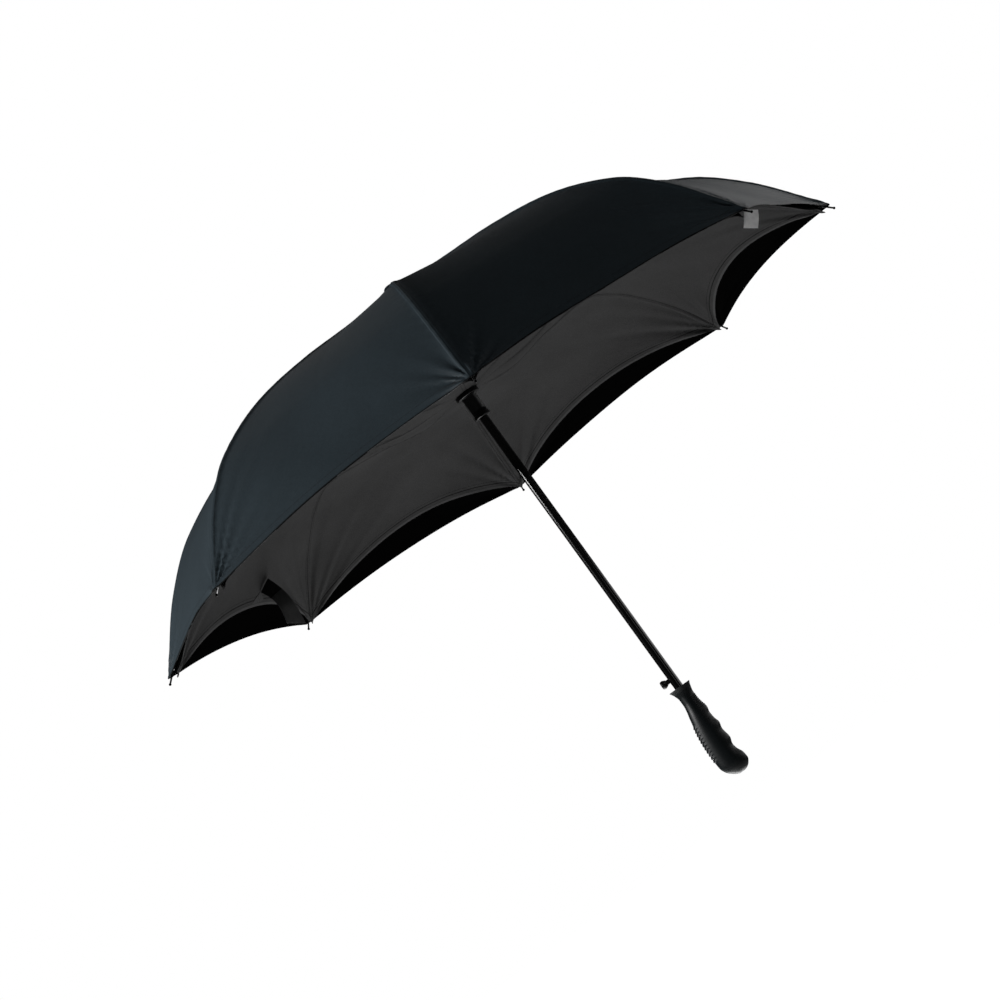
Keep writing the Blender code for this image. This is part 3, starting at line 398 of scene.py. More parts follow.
def petal_mesh(name, canopy, rib, columns, rows, flap_side):
    """A closed thin shell for one petal, in the frame's own place."""
    signed, gore, share, radius, tuck = petal_grid(canopy, rib, columns, rows, flap_side)
    middle = canopy.point(gore, share, radius)
    left = canopy.normal(np.full_like(gore, rib - 1), np.ones_like(share), radius)
    right = canopy.normal(np.full_like(gore, rib), np.zeros_like(share), radius)
    on_seam = (signed == 0)[..., None]
    way = np.where(on_seam, unit(left + right), canopy.normal(gore, share, radius))
    edge = canopy.hem_radius(share) - radius
    half = np.interp(edge, *zip(*HEM_PROFILE, strict=True)) / 2
    layers = [middle + way * (tuck + side * half)[..., None] for side in (1, -1)]
    points = np.concatenate(layers).reshape(-1, 3)
    points[:, 2] += MOUTH_HEIGHT
    mesh = new_mesh(name, points.tolist(), shell_faces(*signed.shape))
    corner = np.array([loop.vertex_index for loop in mesh.loops])
    places = np.tile(np.stack([signed.ravel(), radius.ravel()], -1), (2, 1))[corner]
    mesh.uv_layers.new(name="place").data.foreach_set("uv", places.ravel())
    return mesh


def fetched(items, name, width):
    """One property of many mesh elements, in rows of this width."""
    values = np.empty(len(items) * width)
    items.foreach_get(name, values)
    return values.reshape(-1, width)


def dress_petal(mesh, canopy, rib):
    """Shading normals and the cloth's own coordinates, worked out from the surface itself."""
    place = mesh.uv_layers["place"]
    signed, radius = fetched(place.data, "uv", 2).T
    mesh.uv_layers.remove(place)
    sizes = fetched(mesh.polygons, "loop_total", 1).astype(int).ravel()
    starts = np.concatenate(([0], np.cumsum(sizes)[:-1]))
    side = np.repeat(np.where(np.add.reduceat(signed, starts) < 0, -1.0, 1.0), sizes)
    signed = np.abs(signed) * side
    gore = np.where(side < 0, rib - 1, rib).astype(float)
    share = np.where(side < 0, 1 + signed, signed)
    smooth = canopy.normal(gore, share, radius)
    flat = np.repeat(fetched(mesh.polygons, "normal", 3), sizes, 0)
    facing = np.einsum("ij,ij->i", smooth, flat)
    normals = np.where((facing > FACING_SHARE)[:, None], smooth, flat)
    normals = np.where((facing < -FACING_SHARE)[:, None], -smooth, normals)
    mesh.shade_smooth()
    mesh.normals_split_custom_set(normals.tolist())
    across = signed * 2 * radius * math.sin(STEP / 2)
    edge = canopy.hem_radius(np.abs(signed)) - radius
    for name, first, second in (("cloth", across, canopy.arc(radius)), ("hem", edge, across)):
        layer = mesh.uv_layers.new(name=name)
        layer.data.foreach_set("uv", np.stack([first, second], -1).ravel())
    return (facing < 0)[starts].astype(int)


def link(name, data, *materials):
    item = bpy.data.objects.new(name, data)
    bpy.context.scene.collection.objects.link(item)
    for material in materials:
        data.materials.append(material)
    return item


# How fine each texture is, in waves a metre, and its detail
TEXTURES = {
    "cloth_tone": (9.0, 4.0), "cloth_speck": (900.0, 2.0), "crinkle": (120.0, 4.0),
    "plastic_tone": (60.0, 3.0), "plastic_skin": (2500.0, 3.0), "rubber_tone": (45.0, 4.0),
    "rubber_grain": (1600.0, 3.0), "rubber_pores": (420.0, 2.0), "lacquer_tone": (30.0, 3.0),
    "lacquer_lines": (1800.0, 3.0), "metal_tone": (200.0, 3.0), "metal_scratches": (1500.0, 2.0),
    "strap_tone": (50.0, 3.0), "label_tone": (160.0, 3.0), "label_weave": (1800.0, 2.0),
}
# How deep each bump is, in metres, and the share of it that shows
BUMPS = {
    "cloth_weave": (0.00006, 0.5), "crinkle": (0.0006, 0.35), "stitches": (-0.0003, 0.7),
    "plastic_skin": (0.00003, 0.6), "rubber_grain": (0.00006, 0.6), "rubber_pores": (0.0001, 0.35),
    "lacquer_lines": (0.00002, 0.5), "metal_scratches": (0.00002, 0.5),
    "strap_weave": (0.00012, 0.7), "label_weave": (0.00006, 0.6),
}
# Numbers of the mix node's sockets for a share and two colours, and for the colour it gives
MIX_INPUTS = (0, 6, 7)
MIX_OUTPUT = 2
# Where a noise's values start and end a change of colour
TONE_SPAN = (0.3, 0.7)
SPECK_SPAN = (0.35, 0.65)


class Nodes:
    """Short calls for building one material's nodes."""

    def __init__(self, name, **values):
        self.material = bpy.data.materials.new(name)
        self.material.use_nodes = True
        self.tree = self.material.node_tree
        self.shader = self.tree.nodes["Principled BSDF"]
        self.fill(self.shader, **values)

    def add(self, kind, **values):
        node = self.tree.nodes.new(kind)
        for key, value in values.items():
            setattr(node, key, value)
        return node

    def give(self, socket, value):
        """Sets a socket to a number or a colour, or joins it to another node's output."""
        if isinstance(value, (int, float)):
            socket.default_value = value
        elif isinstance(value, tuple):
            socket.default_value = (*value, 1.0)
        else:
            self.tree.links.new(value, socket)

    def fill(self, node, **values):
        """Gives a value to each of these sockets of a node."""
        for key, value in values.items():
            self.give(node.inputs[key.replace("_", " ")], value)

    def math(self, operation, *values):
        node = self.add("ShaderNodeMath", operation=operation)
        for socket, value in zip(node.inputs, values, strict=False):
            self.give(socket, value)
        return node.outputs[0]

    def noise(self, kind, roughness=0.5, vector=None):
        node = self.add("ShaderNodeTexNoise")
        scale, detail = TEXTURES[kind]
        vector = vector or self.coordinates()
        self.fill(node, Scale=scale, Detail=detail, Roughness=roughness, Vector=vector)
        return node.outputs["Fac"]

    def ramp(self, source, span, colours):
        """A colour between two, as the source runs over its span."""
        node = self.add("ShaderNodeValToRGB")
        for stop, place, colour in zip(node.color_ramp.elements, span, colours, strict=True):
            stop.position = place
            stop.color = (*colour, 1.0)
        self.give(node.inputs["Fac"], source)
        return node.outputs["Color"]

    def mix(self, share, first, second, **values):
        node = self.add("ShaderNodeMix", data_type="RGBA", **values)
        for number, value in zip(MIX_INPUTS, (share, first, second), strict=True):
            self.give(node.inputs[number], value)
        return node.outputs[MIX_OUTPUT]

    def multiply(self, first, second):
        return self.mix(1.0, first, second, blend_type="MULTIPLY")

    def place(self, name):
        """The two numbers of a layer of coordinates."""
        node = self.add("ShaderNodeSeparateXYZ")
        self.give(node.inputs[0], self.add("ShaderNodeUVMap", uv_map=name).outputs[0])
        return node.outputs[0], node.outputs[1]

    def bump(self, height, kind, before=None):
        node = self.add("ShaderNodeBump")
        distance, strength = BUMPS[kind]
        self.fill(node, Distance=distance, Strength=strength, Height=height)
        if before is not None:
            self.fill(node, Normal=before)
        return node.outputs["Normal"]

    def coordinates(self):
        return self.add("ShaderNodeTexCoord").outputs["Object"]

    def finished(self, colour, normal):
        self.fill(self.shader, Base_Color=colour, Normal=normal)
        return self.material


# Closing strap: a black panel at its sewn end, then greyer webbing, painted lighter towards its lower
# end as painted light
STRAP_PANEL = 0.0200
STRAP_PANEL_COLOUR = (0.0090, 0.0090, 0.0091)
STRAP_COLOUR = (0.0300, 0.0300, 0.0303)
# Painted light: the strap's lower end is painted lighter, where it turns towards the light
STRAP_LIT_END_COLOUR = (0.0520, 0.0520, 0.0525)
STRAP_LIT_END_SPAN = (0.032, 0.056)
STRAP_WEAVE_PITCH = 0.0011
STRAP_TONE_SHARES = (0.80, 1.20)
STRAP_SEAM_SHARE = 0.4

# Threads of the cloth, and the dashes of the rows of stitches
WEAVE_PITCH = 0.0007
STITCH_PITCH = 0.0025
STITCH_WIDTH = 0.0007
SEAM_STITCH = 0.0022
SEAM_FILLED_SHARE = 0.72
THREAD_SHARE = 0.30


def scaled(colour, share):
    return tuple(c * share for c in colour)


def shades(colour, shares):
    return tuple(scaled(colour, share) for share in shares)


def band(nodes, value, start, end):
    """1 where the value lies between start and end."""
    above = nodes.math("GREATER_THAN", value, start)
    below = nodes.math("LESS_THAN", value, end)
    return nodes.math("MULTIPLY", above, below)


def woven_height(nodes, across, along, pitch):
    """A plain weave as a height, from coordinates in metres."""
    warp = nodes.math("SINE", nodes.math("MULTIPLY", across, math.tau / pitch))
    weft = nodes.math("SINE", nodes.math("MULTIPLY", along, math.tau / pitch))
    return nodes.math("MULTIPLY", warp, weft)


def stitch_line(nodes, distance, run, start, width, filled_share):
    """A row of stitches at a distance from an edge, broken into dashes along its run."""
    row = band(nodes, distance, start, start + width)
    place = nodes.math("FRACT", nodes.math("MULTIPLY", run, 1 / STITCH_PITCH))
    return nodes.math("MULTIPLY", row, nodes.math("LESS_THAN", place, filled_share))


def cloth_material(name, colour, hem, gloss, sheen, stitches):
    """Plain-woven cloth, stitches, a rib seam and a turned hem, its edge painted: shade on the outer
    canopy, a highlight on the inner.
    """
    nodes = Nodes(name, Roughness=0.5, Specular_IOR_Level=gloss)
    nodes.fill(nodes.shader, Sheen_Weight=sheen, Sheen_Roughness=SHEEN_ROUGHNESS)
    across, along = nodes.place("cloth")
    edge, run = nodes.place("hem")
    tone = nodes.ramp(nodes.noise("cloth_tone"), TONE_SPAN, shades(colour, CLOTH_TONE_SHARES))
    speck = nodes.ramp(nodes.noise("cloth_speck"), SPECK_SPAN, shades(WHITE, SPECK_SHARES))
    hem_width, hem_paint_share = hem
    in_hem = nodes.math("LESS_THAN", edge, hem_width)
    # The hem's edge band takes a share of the cloth's colour: painted shade on the outer canopy, a
    # painted highlight on the inner
    hem_painted = nodes.mix(in_hem, nodes.multiply(tone, speck), scaled(colour, hem_paint_share))
    seam = nodes.math("ABSOLUTE", across)
    rows = stitch_line(nodes, seam, along, SEAM_STITCH, STITCH_WIDTH, SEAM_FILLED_SHARE)
    for start, width, filled_share in stitches:
        rows = nodes.math("MAXIMUM", rows, stitch_line(nodes, edge, run, start, width, filled_share))
    stitched = nodes.mix(rows, hem_painted, scaled(colour, THREAD_SHARE))
    weave = nodes.bump(woven_height(nodes, across, along, WEAVE_PITCH), "cloth_weave")
    soft = nodes.bump(nodes.noise("crinkle", CRINKLE_ROUGHNESS), "crinkle", weave)
    return nodes.finished(stitched, nodes.bump(rows, "stitches", soft))


def plain_material(name, values, tone, colours, bumps):
    """A finish that changes slowly between two tones, with one bump on another."""
    nodes = Nodes(name, **values)
    normal = None
    for kind in bumps:
        normal = nodes.bump(nodes.noise(kind), kind, normal)
    return nodes.finished(nodes.ramp(nodes.noise(tone), TONE_SPAN, colours), normal)


def plastic_material(name, colour, roughness, level):
    """Moulded plastic with a fine skin."""
    values = {"Roughness": roughness, "Specular_IOR_Level": level}
    colours = shades(colour, PLASTIC_TONE_SHARES)
    return plain_material(name, values, "plastic_tone", colours, ("plastic_skin",))


def lacquer_material():
    """Black lacquer on a drawn tube, with faint drawing lines along it."""
    nodes = Nodes("shaft_lacquer", Roughness=0.14, Specular_IOR_Level=0.5)
    stretch = nodes.add("ShaderNodeMapping")
    stretch.inputs["Scale"].default_value = DRAWN_SCALES
    nodes.fill(stretch, Vector=nodes.coordinates())
    lines = nodes.noise("lacquer_lines", vector=stretch.outputs[0])
    tone = nodes.ramp(nodes.noise("lacquer_tone"), TONE_SPAN, LACQUER_COLOURS)
    return nodes.finished(tone, nodes.bump(lines, "lacquer_lines"))


def metal_material(name, colour, roughness):
    values = {"Roughness": roughness, "Metallic": 1.0}
    colours = shades(colour, METAL_TONE_SHARES)
    return plain_material(name, values, "metal_tone", colours, ("metal_scratches",))


def webbing_material():
    """The strap's cloth: a ribbed plain weave, black at its sewn end, greyer further down and lighter
    at its lower end as painted light.
    """
    nodes = Nodes("strap_webbing", Roughness=0.75, Specular_IOR_Level=0.0, Sheen_Weight=0.03)
    across, along = nodes.place("cloth")
    tone = nodes.ramp(nodes.noise("strap_tone"), TONE_SPAN, shades(WHITE, STRAP_TONE_SHARES))
    # Painted light that lightens the strap towards its lower end
    lit_end = nodes.add("ShaderNodeMapRange", interpolation_type="SMOOTHSTEP")
    nodes.fill(lit_end, From_Min=STRAP_LIT_END_SPAN[0], From_Max=STRAP_LIT_END_SPAN[1], Value=along)
    webbing = nodes.mix(lit_end.outputs[0], STRAP_COLOUR, STRAP_LIT_END_COLOUR)
    base = nodes.mix(nodes.math("LESS_THAN", along, STRAP_PANEL), webbing, STRAP_PANEL_COLOUR)
    seam = band(nodes, along, STRAP_PANEL - STITCH_WIDTH, STRAP_PANEL + STITCH_WIDTH)
    dark = scaled(STRAP_PANEL_COLOUR, STRAP_SEAM_SHARE)
    stitched = nodes.mix(seam, nodes.multiply(base, tone), dark)
    weave = woven_height(nodes, across, along, STRAP_WEAVE_PITCH)
    return nodes.finished(stitched, nodes.bump(weave, "strap_weave"))


WHITE = (1.0, 1.0, 1.0)
OUTER_COLOUR = (0.0225, 0.0320, 0.0385)
# Inside face of the outer cloth: the same cloth painted near black, as painted shade under the outer
# canopy
INSIDE_SHADE_COLOUR = (0.0010, 0.0010, 0.0010)
INNER_COLOUR = (0.0265, 0.0265, 0.0267)
RUBBER_COLOURS = ((0.0020, 0.0034, 0.0040), (0.0028, 0.0046, 0.0054))
LACQUER_COLOURS = ((0.0006, 0.0006, 0.0007), (0.0010, 0.0010, 0.0011))
CAP_COLOUR_SHARE = 0.5
TAB_COLOUR_SHARE = 1.25

# Darkest and lightest tone of a finish, as shares of its colour
CLOTH_TONE_SHARES = (0.90, 1.10)
SPECK_SHARES = (0.84, 1.16)
PLASTIC_TONE_SHARES = (0.8, 1.2)
METAL_TONE_SHARES = (0.8, 1.1)
LABEL_TONE_SHARES = (0.60, 0.74)
DRAWN_SCALES = (1.0, 1.0, 0.01)
CRINKLE_ROUGHNESS = 0.6
SHEEN_ROUGHNESS = 0.45

# Width of a hem's edge band, and the share of the cloth's colour painted on it: painted shade on the
# outer hem, a painted highlight on the inner hem
# Outer hem: its edge painted at a tenth of the cloth's colour, a painted shade line
OUTER_HEM_SHADE = (0.0008, 0.1)
INSIDE_SHADE_HEM = (0.0008, 1.0)
# Inner hem: its rolled edge painted half as light again, a painted highlight
INNER_HEM_HIGHLIGHT = (0.0026, 1.5)
NO_HEM = (0.0, 1.0)

# Rows of stitches along a hem: distance from the edge, width and filled share
OUTER_STITCHES = ((0.0066, 0.0004, 0.7),)
INNER_STITCHES = ((0.0062, 0.0010, 0.97), (0.0098, 0.0005, 0.6))

# Cloths: name, colour, hem, gloss, sheen and stitches
CLOTHS = {
    "outer": ("outer_pongee", OUTER_COLOUR, OUTER_HEM_SHADE, 0.10, 0.03, OUTER_STITCHES),
    # The outer canopy's inside face: the same cloth painted near black as painted shade
    "outer_inside": ("outer_lining", INSIDE_SHADE_COLOUR, INSIDE_SHADE_HEM, 0.0, 0.0, OUTER_STITCHES),
    "inner": ("inner_pongee", INNER_COLOUR, INNER_HEM_HIGHLIGHT, 0.0, 0.0, INNER_STITCHES),
    "tab": ("tab_pongee", scaled(INNER_COLOUR, TAB_COLOUR_SHARE), NO_HEM, 0.0, 0.0, ()),
}
# Plastics and lacquers: name, colour, roughness and specular level
PLASTICS = {
    "plastic": ("black_moulding", (0.0012, 0.0012, 0.0013), 0.36, 0.2),
    "cap": ("covered_cap", scaled(OUTER_COLOUR, CAP_COLOUR_SHARE), 0.60, 0.0),
    "button": ("button_moulding", (0.0016, 0.0018, 0.0019), 0.40, 0.3),
    "satin": ("rib_lacquer", (0.0040, 0.0040, 0.0041), 0.40, 0.4),
    "fibre": ("rib_fibre", (0.0030, 0.0030, 0.0031), 0.32, 0.4),
}
# Metals: name, colour and roughness
METALS = {
    "steel": ("spring_steel", (0.42, 0.42, 0.43), 0.35),
    # One nickel in two painted copies: a bright one as painted highlight on tips 6 and 7, a near-black
    # one as painted shade on the other tips and every ball
    "bright": ("bright_nickel", (0.75, 0.75, 0.76), 0.22),
    "dark": ("dark_nickel", (0.0045, 0.0045, 0.0047), 0.35),
}
# Others: name, the shader's values, texture of its tone, two colours and bumps
OTHERS = {
    "rubber": (
        "grip_rubber_skin",
        {"Roughness": 0.42, "Specular_IOR_Level": 0.25},
        "rubber_tone",
        RUBBER_COLOURS,
        ("rubber_grain", "rubber_pores"),
    ),
    "label": (
        "blank_label_cloth",
        {"Roughness": 0.8, "Specular_IOR_Level": 0.02},
        "label_tone",
        shades(WHITE, LABEL_TONE_SHARES),
        ("label_weave",),
    ),
}
MAKERS = (
    (cloth_material, CLOTHS),
    (plastic_material, PLASTICS),
    (metal_material, METALS),
    (plain_material, OTHERS),
)
MATERIALS = {"lacquer": lacquer_material(), "webbing": webbing_material()}
for maker, table in MAKERS:
    MATERIALS |= {key: maker(*values) for key, values in table.items()}


def cut(item, cutter):
    """Cuts one object out of another and removes the cutter."""
    change = item.modifiers.new("cut", "BOOLEAN")
    change.operation = "DIFFERENCE"
    change.solver = "EXACT"
    change.object = cutter
    graph = bpy.context.evaluated_depsgraph_get()
    graph.update()
    item.data = bpy.data.meshes.new_from_object(item.evaluated_get(graph))
    item.modifiers.clear()
    bpy.data.objects.remove(cutter, do_unlink=True)


def bridge(low, high):
    """Faces between two rings of point numbers. A ring's points may all be one."""
    faces = []
    for k in range(len(low)):
        after = (k + 1) % len(low)
        face = list(dict.fromkeys([low[k], low[after], high[after], high[k]]))
        if len(face) > 2:
            faces.append(face)
    return faces


def hole_cutter(rib):
    """Short round punches for the two rings of air holes beside a rib."""
    points, faces = [], []
    for signed in (-RING_SHARE, RING_SHARE):
        middle = signed * 2 * RING_PLACE * math.sin(STEP / 2)
        for h in range(RING_HOLES):
            turn = math.tau * (h + 0.5) / RING_HOLES
            aside = middle + RING_RADIUS * math.cos(turn)
            out = RING_PLACE * (1 - CHORD_SHARE * abs(signed)) + RING_RADIUS * math.sin(turn)
            radius = np.array([out + abs(aside) * CHORD_SHARE / math.sin(STEP)])
            gore, share = gore_of(rib, aside / (radius * math.sin(STEP)))
            centre = Vector(INNER.point(gore, share, radius)[0])
            normal = Vector(INNER.base_normal(gore, share, radius)[0])
            side = normal.orthogonal().normalized()
            other = normal.cross(side)
            rings = []
            for depth in (-PUNCH_REACH, PUNCH_REACH):
                rings.append(list(range(len(points), len(points) + HOLE_SIDES)))
                for s in range(HOLE_SIDES):
                    angle = math.tau * s / HOLE_SIDES
                    spot = side * math.cos(angle) * HOLE_RADIUS + other * math.sin(angle) * HOLE_RADIUS
                    spot += centre + normal * depth
                    points.append((spot.x, spot.y, lifted(spot.z)))
            faces += [rings[0][::-1], rings[1], *bridge(*rings)]
    return link("punches", new_mesh("punches", points, faces))


def one_side_area(mesh):
    return sum(face.area for face in mesh.polygons) / 2


def declare_cloth(item, width, length, spare_share=SPARE_SHARE):
    """Works out the flat width that the piece was cut to; nothing uses the result."""
    area = one_side_area(item.data)
    width = max(width, area / length * spare_share)


def narrow(item):
    """Gives the piece a mesh of its own."""
    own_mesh(item)


def rim_rows(count, power):
    rows = [("out", 1 - (1 - k / count) ** power) for k in range(count + 1)]
    return rows + [("hem", distance) for distance in HEM_ROWS[1:]]


# Each canopy's plan: the body that carries its crowns, their flap's length and side, the share of
# its width that a piece keeps in the closed umbrella, and the finishes of its two sides
CANOPIES = {
    "outer": {
        "surface": OUTER,
        "carrier": "stay",
        "flap": 0.012,
        "flap_side": -1,
        "keep_shares": {"crown": 0.34, "rim": 0.37},
        # The second finish, on the faces that look in, is painted shade
        "finishes": ("outer", "outer_inside"),
    },
    "inner": {
        "surface": INNER,
        "carrier": "rib_inner",
        "flap": 0.030,
        "flap_side": 1,
        "keep_shares": {"crown": 0.57, "rim": 0.44},
        "finishes": ("inner",),
    },
}


def build_petal(kind, part, rib):
    """A crown, from the hole to the joint, or a rim, from the joint to the hem."""
    plan = CANOPIES[kind]
    canopy = plan["surface"]
    number = rib + 1
    if part == "crown":
        columns, rows = petal_columns(*CROWN_COLUMNS), crown_rows(CROWN_ROWS, plan["flap"])
        body, flap_side = f"{plan['carrier']}_{number}", plan["flap_side"]
        start, end = 0.0, JOINT_RADIUS
    else:
        columns, rows = petal_columns(*RIM_COLUMNS), rim_rows(*RIM_ROWS)
        body, flap_side = f"rib_outer_{number}", 0
        start, end = JOINT_RADIUS, canopy.corner
    name = f"{kind}_{part}_{number}"
    item = link(name, petal_mesh(name, canopy, rib, columns, rows, flap_side))
    if kind == "inner" and part == "crown":
        cut(item, hole_cutter(rib))
    # Faces that look in take the canopy's second finish, which on the outer canopy is painted shade
    inside_faces = dress_petal(item.data, canopy, rib)
    for finish in plan["finishes"]:
        item.data.materials.append(MATERIALS[finish])
    if len(plan["finishes"]) > 1:
        item.data.polygons.foreach_set("material_index", inside_faces)
    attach(item, body)
    declare_cloth(item, 2 * end * math.sin(STEP / 2), float(canopy.arc(end) - canopy.arc(start)))
    narrow(item)
    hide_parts(f"{kind}_gore_{(rib - 1) % RIB_COUNT + 1}", f"{kind}_gore_{number}")


def build_canopies():
    for kind in CANOPIES:
        for rib in range(RIB_COUNT):
            for part in ("crown", "rim"):
                build_petal(kind, part, rib)


# Steps round a round piece and round a rounded corner, and the turn that shows as an edge
ROUND_STEPS = 64
CORNER_STEPS = 4
SHARP_DEGREES = 35
# A corner's rounding takes up at most one part of this many of each side beside it
SIDE_PARTS = 2.2


def turned(name, profile, steps=ROUND_STEPS, place=None):
    """A round piece from (radius, height) points, closed where the profile isn't on the axis."""
    points, faces, rings = [], [], []
    for radius, height in profile:
        if radius == 0:
            rings.append([len(points)] * steps)
            points.append((0, 0, height))
            continue
        rings.append(list(range(len(points), len(points) + steps)))
        turns = [math.tau * k / steps for k in range(steps)]
        points += [(radius * math.cos(turn), radius * math.sin(turn), height) for turn in turns]
    if profile[0][0] > 0:
        rings.append(rings[0])
    for low, high in zip(rings, rings[1:], strict=False):
        faces += bridge(low, high)
    mesh = new_mesh(name, points, faces)
    if place is not None:
        mesh.transform(place)
    return mesh


def raised(profile):
    return [(radius, lifted(height)) for radius, height in profile]


def outward(mesh):
    work = bmesh.new()
    work.from_mesh(mesh)
    bmesh.ops.recalc_face_normals(work, faces=work.faces)
    work.to_mesh(mesh)
    work.free()
    return mesh


def smooth(mesh):
    mesh.shade_smooth()
    mesh.set_sharp_from_angle(angle=math.radians(SHARP_DEGREES))
    return mesh


def add_piece(name, mesh, material, body, slot, *nodes):
    item = link(name, smooth(outward(mesh)), material)
    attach(item, body)
    if nodes:
        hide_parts(*nodes)
    return item


def rounded(profile, radius):
    """The profile with its corners rounded, as a list of (radius, height) points."""
    points = [Vector(p) for p in profile]
    out = []
    for k, corner in enumerate(points):
        if k in (0, len(points) - 1):
            out.append(tuple(corner))
            continue
        before, after = points[k - 1], points[k + 1]
        shorter = min((before - corner).length, (after - corner).length)
        reach = min(radius, shorter / SIDE_PARTS)
        start = corner + (before - corner).normalized() * reach
        end = corner + (after - corner).normalized() * reach
        for s in range(CORNER_STEPS + 1):
            share = s / CORNER_STEPS
            low, high = start.lerp(corner, share), corner.lerp(end, share)
            out.append(tuple(low.lerp(high, share)))
    return out


# Shaft, with the slot that the runner's drive pin slides in and a narrow groove
SHAFT_RADIUS = 0.0060
SHAFT_INSIDE = 0.0052
SHAFT_TOP = 0.2450
SHAFT_BOTTOM = -0.4987
SHAFT_SIDES = 80
SLOT_WIDTH = 0.0026
SLOT_BOTTOM = -0.3260
SLOT_TOP = 0.0700
SLOT_START = 0.001
SLOT_REACH = 0.010
GROOVE_DEPTH = 0.0004
GROOVE_DEGREES = 288.0
GROOVE_SPREAD_DEGREES = 6.5
GROOVE_REACH_DEGREES = 17

# Cap: radius and height above its seat, then its plug in the shaft
CAP_RISE = 0.0003
CAP_PROFILE = (
    (0, 0.0012), (0.0058, 0.0012), (0.0086, -0.0006),
    (0.0095, -0.0022), (0.0091, -0.0029), (0.0060, -0.0010),
)
CAP_PLUG_PROFILE = ((0.0060, 0.2453), (0.0049, 0.2453), (0.0049, 0.2330), (0, 0.2330))
CAP_ROUNDING = 0.0004

# Runner's sleeve, with its lip, moulded bands and flange: radius and height
RUNNER_PROFILE = (
    (0.0063, 0.0405), (0.0104, 0.0405), (0.0112, 0.0411), (0.0112, 0.0452), (0.0103, 0.0460),
    (0.0103, 0.0500), (0.0101, 0.0503), (0.0101, 0.0509), (0.0103, 0.0512), (0.0103, 0.0715),
    (0.0112, 0.0731), (0.0160, 0.0735), (0.0167, 0.0741), (0.0167, 0.0790), (0.0080, 0.0790),
    (0.0080, 0.0990), (0.0063, 0.0990),
)

# Push button: radius and distance from the shaft's middle
BUTTON_HEIGHT = -0.3745
BUTTON_SIDES = 48
BUTTON_ROUNDING = 0.0005
BUTTON_PROFILE = (
    (0, 0.0020), (0.0032, 0.0020), (0.0032, 0.0096), (0.0042, 0.0100), (0.0044, 0.0109),
    (0.0050, 0.0122), (0.0056, 0.0131), (0.0056, 0.0156), (0.0048, 0.0173), (0.0026, 0.0178),
    (0, 0.0178),
)


def shaft_mesh():
    """A drawn tube with a narrow groove down its front."""
    reach = GROOVE_REACH_DEGREES
    plain = np.linspace(reach, 360 - reach, SHAFT_SIDES + 2)[1:-1]
    turns = GROOVE_DEGREES + np.concatenate([np.arange(-reach, reach + 1), plain])
    off = (turns - GROOVE_DEGREES + 180) % 360 - 180
    outside = SHAFT_RADIUS - GROOVE_DEPTH * np.exp(-((off / GROOVE_SPREAD_DEGREES) ** 2))
    inside = np.full_like(outside, SHAFT_INSIDE)
    angles = np.radians(turns)
    points, rings = [], []
    corners = (
        (outside, SHAFT_BOTTOM),
        (outside, SHAFT_TOP),
        (inside, SHAFT_TOP),
        (inside, SHAFT_BOTTOM),
    )
    for radii, height in corners:
        rings.append(list(range(len(points), len(points) + len(turns))))
        level = np.full_like(radii, lifted(height))
        points += np.stack([radii * np.cos(angles), radii * np.sin(angles), level], -1).tolist()
    faces = []
    for low, high in zip(rings, rings[1:] + rings[:1], strict=True):
        faces += bridge(low, high)
    return outward(new_mesh("shaft", points, faces))


def slot_cutter():
    low, high = (-SLOT_WIDTH / 2, SLOT_START, SLOT_BOTTOM), (SLOT_WIDTH / 2, SLOT_REACH, SLOT_TOP)
    corners = [(x, y, lifted(z)) for x, y, z in itertools.product(*zip(low, high, strict=True))]
    faces = [(0, 1, 3, 2), (4, 6, 7, 5), (0, 4, 5, 1), (2, 3, 7, 6), (0, 2, 6, 4), (1, 5, 7, 3)]
    return link("slot_cutter", outward(new_mesh("slot_cutter", corners, faces)))


def build_shaft():
    shaft = link("shaft", shaft_mesh(), MATERIALS["lacquer"])
    cut(shaft, slot_cutter())
    smooth(shaft.data)
    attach(shaft, "root")
    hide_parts("shaft_tube")


def build_cap():
    seat = CANOPY_HEIGHT + CAP_RISE
    profile = [(radius, seat + height) for radius, height in CAP_PROFILE] + [*CAP_PLUG_PROFILE]
    mesh = turned("cap", rounded(raised(profile), CAP_ROUNDING))
    add_piece("cap", mesh, MATERIALS["cap"], "root", "black_plastic", "top_cap")


def build_runner():
    mesh = turned("runner_body", raised(RUNNER_PROFILE))
    add_piece("runner_body", mesh, MATERIALS["plastic"], "runner", "black_plastic", "runner_sleeve")


def build_button():
    turn = Matrix.Translation((0, 0, lifted(BUTTON_HEIGHT))) @ Matrix.Rotation(-math.pi / 2, 4, "Y")
    mesh = turned("button", rounded(BUTTON_PROFILE, BUTTON_ROUNDING), BUTTON_SIDES, turn)
    add_piece("button", mesh, MATERIALS["button"], "button", "black_plastic", "push_button")


